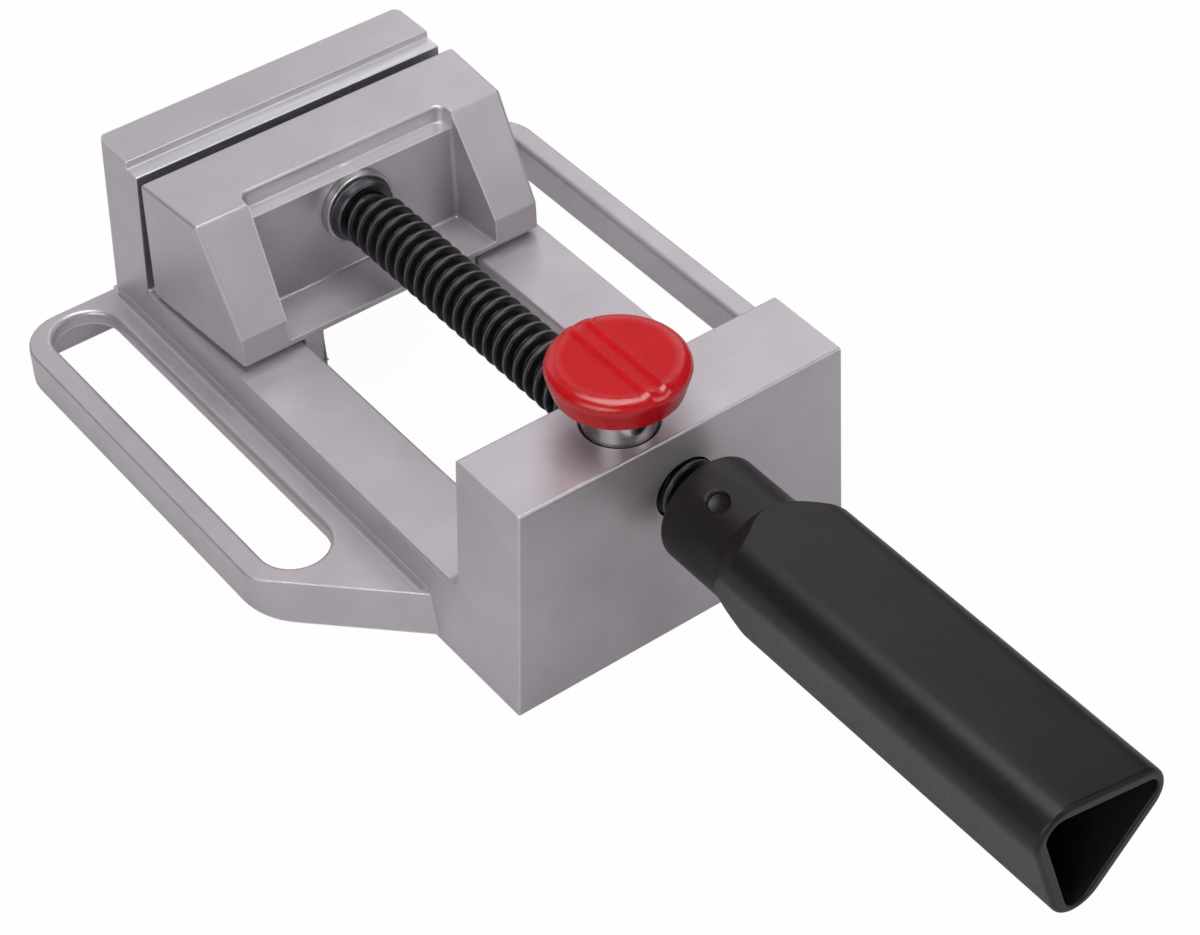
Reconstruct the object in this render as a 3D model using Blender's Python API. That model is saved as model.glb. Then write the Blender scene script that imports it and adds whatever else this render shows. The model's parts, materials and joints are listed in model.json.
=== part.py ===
"""Quick-release drill-press vise: an aluminium base with two slotted ears, a sliding jaw, a lead screw with a
hollow three-sided handle, and a sprung release button whose half nut lets go of the screw.

Metres, +Z up, +Y from the handle towards the fixed jaw. Places are worked out from the fixed jaw's clamping
face, which is at Y = 0 in the model, and one empty then moves the whole vise so that its origin is the
middle of its footprint.
"""

import math

import bmesh
import bpy
from mathutils import Matrix, Vector

# Base casting: the fixed jaw, the two rails and the front block share sides that lean in towards the top.
JAW_WIDTH = 0.1000
BASE_WIDTH = 0.1058
FIXED_JAW_HEIGHT = 0.0648
FIXED_JAW_DEPTH = 0.0210
FIXED_JAW_CORNER = 0.0035
LEDGE_DEPTH = 0.0052
LEDGE_DROP = 0.0023
BED_LENGTH = 0.1508
RAIL_HEIGHT = 0.0240
RAIL_GAP = 0.0586
RAIL_LIP = 0.0105
KEEPER_RECESS = 0.0080
BED_WEB = 0.0040
BLOCK_DEPTH = 0.0264
BLOCK_HEIGHT = 0.0669

# Ears: flat lugs with one long hold-down slot each.
EAR_REACH = 0.0858
EAR_TOP = 0.0125
EAR_FOOT_CLEARANCE = 0.0010
EAR_REAR_SETBACK = 0.0005
EAR_REAR_RADIUS = 0.0135
EAR_SIDE_LENGTH = 0.1251
EAR_TAPER_LENGTH = 0.0335
EAR_FRONT_RADIUS = 0.0080
EAR_FRONT_DRAFT = 0.0042
EAR_FOOT_RADIUS = 0.0220
EAR_PLATE = 0.0042
EAR_RIM = 0.00705
HOLLOW_REAR_WALL = 0.00275
HOLLOW_STEP = 0.0010
SLOT_WIDTH = 0.0195
SLOT_TRAVEL = 0.1065
SLOT_REAR_CENTRE = 0.0070

# Movable jaw, at the opening that it is stored at.
REST_OPENING = 0.0047
MOVING_HEIGHT = 0.0397
MOVING_REAR_WIDTH = 0.1032
MOVING_FRONT_WIDTH = 0.0976
MOVING_LEAN = 0.0006
MOVING_TOP_DEPTH = 0.0257
MOVING_DEPTH = 0.0427
LIP_HEIGHT = 0.0107
POCKET_WIDTH = 0.0662
POCKET_FLARE = 0.10
POCKET_FLOOR = 0.0037
POCKET_STEP_DEPTH = 0.0050
POCKET_STEP_DROP = 0.0052
FOOT_INSET = 0.0020
FOOT_HEIGHT = 0.0015
RIB_WIDTH = 0.0064
RIB_INSET = 0.0030

# Keeper strips hold the jaw down from under the rails.
KEEPER_THICKNESS = 0.0035
KEEPER_OVERLAP = 0.0065
KEEPER_SCREW_RADIUS = 0.0020
KEEPER_SCREW_LENGTH = 0.0110
KEEPER_HEAD_RADIUS = 0.0036
KEEPER_HEAD_HEIGHT = 0.0024
KEEPER_SCREW_INSET = 0.0080
DRIVE_SLOT_WIDTH = 0.0009
DRIVE_SLOT_DEPTH = 0.0011

# Lead screw: a right-hand trapezoidal thread between a journal in the jaw and a tail in the handle.
SCREW_DEPTH = 0.0187
SCREW_RADIUS = 0.00875
THREAD_DEPTH = 0.0021
THREAD_PITCH = 0.0045
THREAD_CREST = 0.0014
THREAD_FLANK = 0.0007
JOURNAL_RADIUS = 0.0066
JOURNAL_WALL = 0.0052
GROOVE_DEPTH = 0.0018
GROOVE_WIDTH = 0.0040
GROOVE_STAND_OFF = 0.0030
RETAINING_PIN_RADIUS = 0.0016
RETAINING_PIN_LENGTH = 0.0230
THRUST_PAD_THICKNESS = 0.0030
BUSH_RADIUS = 0.0102
BUSH_FLANGE_RADIUS = 0.0109
BUSH_HUB_BASE = 0.0102
BUSH_HUB_TIP = 0.0092
BUSH_DEPTH = 0.0070
BUSH_STAND_OUT = 0.0027
BUSH_HUB_LENGTH = 0.0030
TAIL_RADIUS = 0.0060
TAIL_LENGTH = 0.0275

# Handle: a round neck that flares into a hollow prism with three rounded corners.
NECK_GAP = 0.0080
NECK_RADIUS = 0.0150
NECK_LENGTH = 0.0222
SHOULDER_LENGTH = 0.0085
GRIP_LENGTH = 0.1064
GRIP_FLAT = 0.0151
GRIP_CORNER = 0.0085
GRIP_WALL = 0.0034
GRIP_HOLLOW_CORNER = 0.0040
GRIP_ROOF = 0.0060
GRIP_TURN = math.radians(12.0)
HANDLE_PIN_RADIUS = 0.0027
HANDLE_PIN_INSET = 0.0123
HANDLE_PIN_TURN = math.radians(-24.0)
HANDLE_PIN_RECESS = 0.0012

# Release: a plunger beside the screw carries the half nut; its button is pressed against a spring.
RELEASE_OFFSET = 0.0100
RELEASE_TRAVEL = 0.0050
PLUNGER_RADIUS = 0.0075
PLUNGER_FLANGE_RADIUS = 0.0094
PLUNGER_FLANGE_HEIGHT = 0.0030
PLUNGER_FOOT = 0.0180
SPIGOT_RADIUS = 0.0048
NUT_TOP_DROP = 0.0018
COLLAR_RADIUS = 0.0098
COLLAR_ENGAGEMENT = 0.0012
COLLAR_ENTRY = 0.0018
BUTTON_UNDERSIDE = 0.0109
BUTTON_FOOT_RADIUS = 0.0166
BUTTON_RIM_RADIUS = 0.0182
BUTTON_RIM_HEIGHT = 0.0071
BUTTON_HEIGHT = 0.0093
BUTTON_RIM_ROUND = 0.0020
BUTTON_SOCKET_DEPTH = 0.0066
BUTTON_RIB_WIDTH = 0.0030
BUTTON_RIB_HEIGHT = 0.0006
BUTTON_RIB_SPACING = 0.0050
SPRING_RADIUS = 0.0044
SPRING_WIRE_RADIUS = 0.0007
SPRING_TURNS = 8
SPRING_POCKET_DEPTH = 0.0130
PLUG_THICKNESS = 0.0050
PLUG_SETBACK = 0.0008
PLUG_SLOT_WIDTH = 0.0020
PLUG_SLOT_DEPTH = 0.0020

# Clearances.
TOUCH = 0.0003
SLIDE = 0.0004
RUN = 0.0005
NUT_CLEARANCE = 0.00035
OVERLAP = 0.0010

# Facets.
ROUND_SIDES = 32
SMALL_SIDES = 16
THREAD_SIDES = 16
SPRING_POINTS = 10
SPRING_SIDES = 6
ARC_STEPS = 5
FLAT_STEPS = 4

# Places that follow from the sizes above.
BASE_HALF = BASE_WIDTH / 2
SLOT_OFFSET = EAR_REACH - EAR_RIM - SLOT_WIDTH / 2
SCREW_HEIGHT = BLOCK_HEIGHT - SCREW_DEPTH
BLOCK_REAR = -BED_LENGTH
BLOCK_FRONT = BLOCK_REAR - BLOCK_DEPTH
BLOCK_MIDDLE = (BLOCK_REAR + BLOCK_FRONT) / 2
RAIL_INNER = RAIL_GAP / 2
LIP_UNDERSIDE = RAIL_HEIGHT - RAIL_LIP
RECESS_OUTER = RAIL_INNER + KEEPER_RECESS
MOVING_BOTTOM = RAIL_HEIGHT + TOUCH
MOVING_TOP = MOVING_BOTTOM + MOVING_HEIGHT
MOVING_REAR = -REST_OPENING
MOVING_FRONT = MOVING_REAR - MOVING_DEPTH
POCKET_BACK = MOVING_REAR - MOVING_TOP_DEPTH
RIB_OUTER = RAIL_INNER - SLIDE
RIB_INNER = RIB_OUTER - RIB_WIDTH
KEEPER_TOP = LIP_UNDERSIDE - SLIDE - TOUCH
KEEPER_BOTTOM = KEEPER_TOP - KEEPER_THICKNESS
RIB_REAR = MOVING_REAR - BED_WEB - RIB_INSET
RIB_FRONT = MOVING_FRONT + FOOT_INSET
BUSH_FLANGE_FRONT = POCKET_BACK - BUSH_STAND_OUT
BUSH_FRONT = BUSH_FLANGE_FRONT - BUSH_HUB_LENGTH
BUSH_REAR = POCKET_BACK + BUSH_DEPTH
JOURNAL_FRONT = BUSH_FRONT - TOUCH
BORE_END = MOVING_REAR - JOURNAL_WALL
PAD_REAR = BORE_END - TOUCH
JOURNAL_REAR = PAD_REAR - THRUST_PAD_THICKNESS - TOUCH
GROOVE_MIDDLE = BUSH_REAR + GROOVE_STAND_OFF
GROOVE_REAR = GROOVE_MIDDLE + GROOVE_WIDTH / 2
GROOVE_RADIUS = JOURNAL_RADIUS - GROOVE_DEPTH
THREAD_ROOT = SCREW_RADIUS - THREAD_DEPTH
NECK_REAR = BLOCK_FRONT - NECK_GAP
SHOULDER_START = NECK_REAR - NECK_LENGTH
GRIP_START = SHOULDER_START - SHOULDER_LENGTH
GRIP_END = GRIP_START - GRIP_LENGTH
TAIL_END = NECK_REAR - TAIL_LENGTH
THREAD_END = NECK_REAR + TOUCH
HANDLE_PIN_PLACE = NECK_REAR - HANDLE_PIN_INSET
RELEASE_X = -RELEASE_OFFSET
FLANGE_TOP = PLUNGER_FOOT + PLUNGER_FLANGE_HEIGHT
BUTTON_FOOT = BLOCK_HEIGHT + BUTTON_UNDERSIDE
COLLAR_BOTTOM = BLOCK_HEIGHT - COLLAR_ENTRY
COLLAR_TOP = BUTTON_FOOT + COLLAR_ENGAGEMENT
COLLAR_SEAT = COLLAR_BOTTOM - RELEASE_TRAVEL - TOUCH
SPIGOT_TOP = COLLAR_TOP + BUTTON_SOCKET_DEPTH - COLLAR_ENGAGEMENT - TOUCH
PLUG_TOP = PLUG_SETBACK + PLUG_THICKNESS
SPRING_BOTTOM = PLUG_TOP + TOUCH + SPRING_WIRE_RADIUS
SPRING_TOP = PLUNGER_FOOT + SPRING_POCKET_DEPTH - TOUCH - SPRING_WIRE_RADIUS
ORIGIN_SHIFT = -(FIXED_JAW_DEPTH + GRIP_END) / 2

# Colours, in linear light, with metallic value and roughness.
FINISHES = {
    "cast_aluminium": ((0.53, 0.51, 0.53), 0.9, 0.42),
    "bright_steel": ((0.62, 0.61, 0.60), 1.0, 0.18),
    "zinc_steel": ((0.50, 0.50, 0.48), 1.0, 0.35),
    "black_oxide": ((0.012, 0.012, 0.013), 0.5, 0.38),
    "black_plastic": ((0.020, 0.019, 0.022), 0.0, 0.45),
    "red_plastic": ((0.56, 0.018, 0.024), 0.0, 0.22),
    "spring_steel": ((0.30, 0.30, 0.31), 1.0, 0.30),
}


def clear_scene():
    for old in list(bpy.data.objects):
        bpy.data.objects.remove(old, do_unlink=True)


def finish(slot):
    """The material of a finish, made the first time that it is asked for."""
    material = bpy.data.materials.get(slot)
    if material:
        return material
    colour, metallic, roughness = FINISHES[slot]
    material = bpy.data.materials.new(slot)
    material.use_nodes = True
    shader = material.node_tree.nodes["Principled BSDF"]
    shader.inputs["Base Color"].default_value = (*colour, 1.0)
    shader.inputs["Metallic"].default_value = metallic
    shader.inputs["Roughness"].default_value = roughness
    material.diffuse_color = (*colour, 1.0)
    return material


def add_empty(name, place, parent=None):
    empty = bpy.data.objects.new(name, None)
    empty.empty_display_size = 0.01
    empty.location = Vector(place) - (Vector(parent["place"]) if parent else Vector())
    empty["place"] = place
    empty.parent = parent
    bpy.context.scene.collection.objects.link(empty)
    return empty


def add_object(name, parts, slot, parent):
    """One object from a (points, faces) pair, held by an empty whose place becomes the object's origin."""
    points, faces = parts
    mesh = bpy.data.meshes.new(name)
    origin = Vector(parent["place"])
    mesh.from_pydata([Vector(point) - origin for point in points], [], faces)
    outward = bmesh.new()
    outward.from_mesh(mesh)
    bmesh.ops.recalc_face_normals(outward, faces=outward.faces)
    outward.to_mesh(mesh)
    outward.free()
    mesh.shade_smooth()
    mesh.set_sharp_from_angle(angle=math.radians(35))
    mesh.materials.append(finish(slot))
    made = bpy.data.objects.new(name, mesh)
    made.parent = parent
    bpy.context.scene.collection.objects.link(made)
    return made


def combine(target, operation, name, parts):
    """Cuts a shape out of the target, or joins it on, and keeps the shape as a hidden helper."""
    helper = add_object(name, parts, target.data.materials[0].name, target.parent)
    helper.hide_render = True
    helper.display_type = "WIRE"
    modifier = target.modifiers.new(name, "BOOLEAN")
    modifier.operation = operation
    modifier.solver = "EXACT"
    modifier.object = helper


def cut(target, name, parts):
    combine(target, "DIFFERENCE", name, parts)


def join(target, name, parts):
    combine(target, "UNION", name, parts)


def prism(outline, low, high, axis="Z"):
    """A straight prism on an outline: (x, y) points raised along Z, or (y, z) points drawn out along X."""
    count = len(outline)
    if axis == "Z":
        points = [(x, y, low) for x, y in outline] + [(x, y, high) for x, y in outline]
    else:
        points = [(low, y, z) for y, z in outline] + [(high, y, z) for y, z in outline]
    faces = [tuple(range(count)), tuple(range(count, 2 * count))]
    faces += [(i, (i + 1) % count, count + (i + 1) % count, count + i) for i in range(count)]
    return points, faces


def block(low, high):
    """A box between two corners."""
    outline = [(low[0], low[1]), (high[0], low[1]), (high[0], high[1]), (low[0], high[1])]
    return prism(outline, low[2], high[2])


def ring(radius, sides, along, centre, axis):
    """One circle of points round an axis through centre, at a place along it."""
    points = []
    for step in range(sides):
        angle = math.tau * step / sides
        first, second = radius * math.sin(angle), radius * math.cos(angle)
        if axis == "Y":
            points.append((centre[0] + first, along, centre[1] + second))
        else:
            points.append((centre[0] + first, centre[1] + second, along))
    return points


def loft(rings, closed=False):
    """A skin over rings of equally many points: capped at both ends, or closed from the last to the first."""
    sides = len(rings[0])
    points = [point for each in rings for point in each]
    faces = [] if closed else [tuple(range(sides)), tuple(range(len(points) - sides, len(points)))]
    for level in range(len(rings) if closed else len(rings) - 1):
        base, over = level * sides, (level + 1) % len(rings) * sides
        for i in range(sides):
            j = (i + 1) % sides
            faces.append((base + i, base + j, over + j, over + i))
    return points, faces


def turned(profile, centre, axis="Z", sides=ROUND_SIDES, closed=False):
    """A solid of revolution from (radius, place along the axis) pairs, or a closed ring with a hole."""
    return loft([ring(radius, sides, along, centre, axis) for radius, along in profile], closed)


def tube(outer, inner, low, high, centre, axis="Z", sides=ROUND_SIDES):
    """A plain sleeve."""
    corners = [(outer, low), (outer, high), (inner, high), (inner, low)]
    return turned(corners, centre, axis, sides, closed=True)


def arc(centre, radius, start, end, steps):
    """Points on an arc, both ends included. Angles run from +X towards +Y."""
    angles = [start + (end - start) * step / steps for step in range(steps + 1)]
    return [(centre[0] + radius * math.cos(a), centre[1] + radius * math.sin(a)) for a in angles]


def rounded_outline(corners, steps=ARC_STEPS):
    """A polygon from (point, radius) pairs, with each corner of a radius above zero turned into an arc."""
    outline = []
    for index, (point, radius) in enumerate(corners):
        here = Vector(point)
        before = (Vector(corners[index - 1][0]) - here).normalized()
        after = (Vector(corners[(index + 1) % len(corners)][0]) - here).normalized()
        if radius == 0:
            outline.append(tuple(here))
            continue
        half = before.angle(after) / 2
        centre = here + (before + after).normalized() * radius / math.sin(half)
        start = here + before * radius / math.tan(half) - centre
        end = here + after * radius / math.tan(half) - centre
        turn = start.angle_signed(end)
        first = math.atan2(start.y, start.x)
        outline += arc(centre, radius, first, first - turn, steps)
    return outline


def mirrored(outline):
    return [(-x, y) for x, y in outline]


def body_half_width(height):
    """Half the casting's width at a height: the sides lean in evenly from the foot to the jaw's top."""
    return BASE_HALF - (BASE_HALF - JAW_WIDTH / 2) * height / FIXED_JAW_HEIGHT


def casting_body():
    """The base's side view, drawn out to both leaning sides."""
    ledge = FIXED_JAW_HEIGHT - LEDGE_DROP
    outline = [
        (FIXED_JAW_DEPTH, 0), (FIXED_JAW_DEPTH, FIXED_JAW_HEIGHT), (LEDGE_DEPTH, FIXED_JAW_HEIGHT),
        (LEDGE_DEPTH, ledge), (0, ledge), (0, RAIL_HEIGHT), (BLOCK_REAR, RAIL_HEIGHT),
        (BLOCK_REAR, BLOCK_HEIGHT), (BLOCK_FRONT, BLOCK_HEIGHT), (BLOCK_FRONT, 0),
    ]
    points, faces = prism(outline, -1, 1, axis="X")
    return [(side * body_half_width(z), y, z) for side, y, z in points], faces


def rear_corner_cutter(side):
    """What is cut off one upright rear corner of the fixed jaw to round it, along the leaning side."""
    rear, radius = FIXED_JAW_DEPTH, FIXED_JAW_CORNER
    rings = []
    for height in (-OVERLAP, FIXED_JAW_HEIGHT + OVERLAP):
        wide = body_half_width(height)
        outline = [(wide + OVERLAP, rear + OVERLAP), (wide + OVERLAP, rear - radius)]
        outline += arc((wide - radius, rear - radius), radius, 0, math.pi / 2, ARC_STEPS)
        outline.append((wide - radius, rear + OVERLAP))
        rings.append([(side * x, y, height) for x, y in outline])
    return loft(rings)


def ear_outline(draft, radius):
    """The right ear's plan, from inside the rail out to the straight side and back along the taper, which
    stands a draft further forward and runs into the side in a radius.
    """
    inside = (RECESS_OUTER + body_half_width(EAR_TOP)) / 2
    rear = FIXED_JAW_DEPTH - EAR_REAR_SETBACK
    side_end = rear - EAR_SIDE_LENGTH - draft
    taper_end = side_end - EAR_TAPER_LENGTH
    side = body_half_width(EAR_TOP)
    slope = (side_end - taper_end) / (EAR_REACH - side)
    return rounded_outline([
        ((inside, rear), 0), ((inside, taper_end - (side - inside) * slope), 0),
        ((EAR_REACH, side_end), radius), ((EAR_REACH, rear), EAR_REAR_RADIUS),
    ])


def ear_solid(side):
    """One ear. Its front taper leans back from foot to top, and its front corner is rounder at the foot."""
    rings = []
    for height, draft, radius in ((EAR_FOOT_CLEARANCE, EAR_FRONT_DRAFT, EAR_FOOT_RADIUS),
                                  (EAR_TOP, 0, EAR_FRONT_RADIUS)):
        rings.append([(side * x, y, height) for x, y in ear_outline(draft, radius)])
    return loft(rings)


def slot_outline():
    radius = SLOT_WIDTH / 2
    front = SLOT_REAR_CENTRE - SLOT_TRAVEL
    rear_end = arc((SLOT_OFFSET, SLOT_REAR_CENTRE), radius, 0, math.pi, 2 * ARC_STEPS)
    return rear_end + arc((SLOT_OFFSET, front), radius, math.pi, math.tau, 2 * ARC_STEPS)


def build_base(parent):
    base = add_object("base_casting", casting_body(), "cast_aluminium", parent)
    hollow_front = SLOT_REAR_CENTRE - SLOT_TRAVEL - SLOT_WIDTH / 3
    hollow_rear = FIXED_JAW_DEPTH - EAR_REAR_SETBACK - HOLLOW_REAR_WALL
    hollow_outer = SLOT_OFFSET + SLOT_WIDTH / 2 - HOLLOW_STEP
    for side, name in ((1, "right"), (-1, "left")):
        slot = slot_outline() if side > 0 else mirrored(slot_outline())
        cut(base, f"{name}_rear_corner", rear_corner_cutter(side))
        join(base, f"{name}_ear", ear_solid(side))
        cut(base, f"{name}_slot", prism(slot, -OVERLAP, EAR_TOP + OVERLAP))
        hollow_x = sorted((side * (BASE_HALF + TOUCH), side * hollow_outer))
        cut(base, f"{name}_ear_hollow",
            block((hollow_x[0], hollow_front, -OVERLAP), (hollow_x[1], hollow_rear, EAR_TOP - EAR_PLATE)))
    bed = (BLOCK_REAR + BED_WEB, -BED_WEB)
    cut(base, "bed_opening",
        block((-RAIL_INNER, bed[0], -OVERLAP), (RAIL_INNER, bed[1], RAIL_HEIGHT + OVERLAP)))
    cut(base, "keeper_recess",
        block((-RECESS_OUTER, bed[0], -OVERLAP), (RECESS_OUTER, bed[1], LIP_UNDERSIDE)))
    cut(base, "screw_bore",
        turned([(SCREW_RADIUS + TOUCH, BLOCK_FRONT - OVERLAP),
                (SCREW_RADIUS + TOUCH, BLOCK_REAR + BED_WEB + OVERLAP)], (0, SCREW_HEIGHT), axis="Y"))
    middle = (RELEASE_X, BLOCK_MIDDLE)
    flange_bore = PLUNGER_FLANGE_RADIUS + SLIDE
    guide = PLUNGER_RADIUS + TOUCH
    collar_bore = COLLAR_RADIUS + TOUCH
    cut(base, "plunger_bore", turned([
        (flange_bore, -OVERLAP), (flange_bore, FLANGE_TOP + TOUCH), (guide, FLANGE_TOP + TOUCH),
        (guide, COLLAR_SEAT), (collar_bore, COLLAR_SEAT), (collar_bore, BLOCK_HEIGHT + OVERLAP)], middle))
    return base


def moving_half_width(along, height):
    """Half the movable jaw's width: it narrows evenly towards the front, and its sides lean in a little."""
    share = (MOVING_REAR - along) / MOVING_DEPTH
    half = (MOVING_REAR_WIDTH + (MOVING_FRONT_WIDTH - MOVING_REAR_WIDTH) * share) / 2
    return half + MOVING_LEAN * (MOVING_TOP - height) / MOVING_HEIGHT


def pocket_half_width(along):
    """Half the pocket's width: its sides open a little towards the front."""
    return POCKET_WIDTH / 2 + POCKET_FLARE * (POCKET_BACK - along)


def moving_jaw_body():
    """The jaw's side view, drawn out to both sides, which close in towards the front."""
    foot = MOVING_BOTTOM + FOOT_HEIGHT
    outline = [(MOVING_REAR, foot), (MOVING_REAR, MOVING_TOP), (POCKET_BACK, MOVING_TOP),
               (MOVING_FRONT, MOVING_BOTTOM + LIP_HEIGHT), (MOVING_FRONT, foot)]
    points, faces = prism(outline, -1, 1, axis="X")
    return [(side * moving_half_width(y, z), y, z) for side, y, z in points], faces


def build_jaw(parent):
    jaw = add_object("movable_jaw", moving_jaw_body(), "cast_aluminium", parent)
    front = MOVING_FRONT + FOOT_INSET
    rear = MOVING_REAR - TOUCH
    foot = [(moving_half_width(y, MOVING_BOTTOM) - FOOT_INSET, y) for y in (rear, front)]
    foot += mirrored(foot)[::-1]
    join(jaw, "jaw_foot", prism(foot, MOVING_BOTTOM, MOVING_BOTTOM + FOOT_HEIGHT + OVERLAP))
    for side, name in ((1, "right"), (-1, "left")):
        rib_x = sorted((side * RIB_INNER, side * RIB_OUTER))
        join(jaw, f"{name}_rib", block((rib_x[0], RIB_FRONT, KEEPER_TOP + TOUCH),
                                       (rib_x[1], RIB_REAR, MOVING_BOTTOM + FOOT_HEIGHT)))
        for x, y in keeper_screw_places(side):
            top = KEEPER_BOTTOM + KEEPER_SCREW_LENGTH + TOUCH
            hole = KEEPER_SCREW_RADIUS + TOUCH
            cut(jaw, "keeper_screw_hole",
                turned([(hole, KEEPER_TOP), (hole, top)], (x, y), sides=SMALL_SIDES))
    step = POCKET_BACK + POCKET_STEP_DEPTH
    ledge = MOVING_TOP - POCKET_STEP_DROP
    floor = MOVING_BOTTOM + POCKET_FLOOR
    beyond = MOVING_FRONT - OVERLAP
    pocket = [(step, MOVING_TOP + OVERLAP), (step, ledge), (POCKET_BACK, ledge), (POCKET_BACK, floor),
              (beyond, floor), (beyond, MOVING_TOP + OVERLAP)]
    points, faces = prism(pocket, -1, 1, axis="X")
    cut(jaw, "pocket", ([(side * pocket_half_width(y), y, z) for side, y, z in points], faces))
    seat = BUSH_RADIUS + TOUCH
    bore = JOURNAL_RADIUS + TOUCH
    cut(jaw, "journal_bore",
        turned([(seat, POCKET_BACK - OVERLAP), (seat, BUSH_REAR + TOUCH), (bore, BUSH_REAR + TOUCH),
                (bore, BORE_END)], (0, SCREW_HEIGHT), axis="Y"))
    hole = RETAINING_PIN_RADIUS + TOUCH
    for x in retaining_pin_places():
        cut(jaw, "retaining_pin_hole",
            turned([(hole, MOVING_BOTTOM - OVERLAP), (hole, SCREW_HEIGHT + RETAINING_PIN_LENGTH / 2 + TOUCH)],
                   (x, GROOVE_MIDDLE), sides=SMALL_SIDES))
    return jaw


def keeper_screw_places(side):
    """Two screws for each keeper, near its ends and in the middle of the jaw's rib."""
    x = side * (RIB_INNER + RIB_OUTER) / 2
    return [(x, RIB_REAR - KEEPER_SCREW_INSET), (x, RIB_FRONT + KEEPER_SCREW_INSET)]


def retaining_pin_places():
    """The two pins stand upright on either side of the screw's groove."""
    reach = GROOVE_RADIUS + TOUCH + RETAINING_PIN_RADIUS
    return (reach, -reach)


def slotted_screw(name, head_low, shank_top, place, parent):
    """A pan-head screw that points up, with a driving slot across the underside of its head."""
    head_top = head_low + KEEPER_HEAD_HEIGHT
    round_off = KEEPER_HEAD_HEIGHT / 4
    profile = [(KEEPER_HEAD_RADIUS - round_off, head_low), (KEEPER_HEAD_RADIUS, head_low + round_off),
               (KEEPER_HEAD_RADIUS, head_top), (KEEPER_SCREW_RADIUS, head_top),
               (KEEPER_SCREW_RADIUS, shank_top)]
    screw = add_object(name, turned(profile, place, sides=SMALL_SIDES), "zinc_steel", parent)
    reach = KEEPER_HEAD_RADIUS + OVERLAP
    half = DRIVE_SLOT_WIDTH / 2
    cut(screw, f"{name}_drive", block((place[0] - reach, place[1] - half, head_low - OVERLAP),
                                      (place[0] + reach, place[1] + half, head_low + DRIVE_SLOT_DEPTH)))


def build_keepers(parent):
    number = 0
    for side, name in ((1, "right"), (-1, "left")):
        reach = sorted((side * RIB_INNER, side * (RAIL_INNER + KEEPER_OVERLAP)))
        keeper = add_object(f"keeper_{name}", block((reach[0], RIB_FRONT, KEEPER_BOTTOM),
                                                    (reach[1], RIB_REAR, KEEPER_TOP)), "zinc_steel", parent)
        for place in keeper_screw_places(side):
            number += 1
            hole = KEEPER_SCREW_RADIUS + TOUCH
            bore = [(hole, KEEPER_BOTTOM - OVERLAP), (hole, KEEPER_TOP + OVERLAP)]
            cut(keeper, "screw_hole", turned(bore, place, sides=SMALL_SIDES))
            slotted_screw(f"keeper_screw_{number}", KEEPER_BOTTOM - TOUCH - KEEPER_HEAD_HEIGHT,
                          KEEPER_BOTTOM + KEEPER_SCREW_LENGTH, place, parent)


def build_jaw_bearing(parent):
    """What holds the screw's end in the jaw: the bush, two pins in its groove, and the pad it pushes on."""
    axis = (0, SCREW_HEIGHT)
    bore = JOURNAL_RADIUS + TOUCH
    flange_rear = POCKET_BACK - TOUCH
    bush = turned([(BUSH_RADIUS, BUSH_REAR), (BUSH_RADIUS, flange_rear), (BUSH_FLANGE_RADIUS, flange_rear),
                   (BUSH_FLANGE_RADIUS, BUSH_FLANGE_FRONT), (BUSH_HUB_BASE, BUSH_FLANGE_FRONT),
                   (BUSH_HUB_TIP, BUSH_FRONT), (bore, BUSH_FRONT), (bore, BUSH_REAR)],
                  axis, axis="Y", closed=True)
    add_object("screw_bush", bush, "zinc_steel", parent)
    pad = [(JOURNAL_RADIUS, PAD_REAR), (JOURNAL_RADIUS, PAD_REAR - THRUST_PAD_THICKNESS)]
    add_object("thrust_pad", turned(pad, axis, axis="Y"), "zinc_steel", parent)
    low = SCREW_HEIGHT - RETAINING_PIN_LENGTH / 2
    for x, name in zip(retaining_pin_places(), ("right", "left")):
        add_object(f"retaining_pin_{name}",
                   turned([(RETAINING_PIN_RADIUS, low), (RETAINING_PIN_RADIUS, low + RETAINING_PIN_LENGTH)],
                          (x, GROOVE_MIDDLE), sides=SMALL_SIDES), "zinc_steel", parent)


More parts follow.
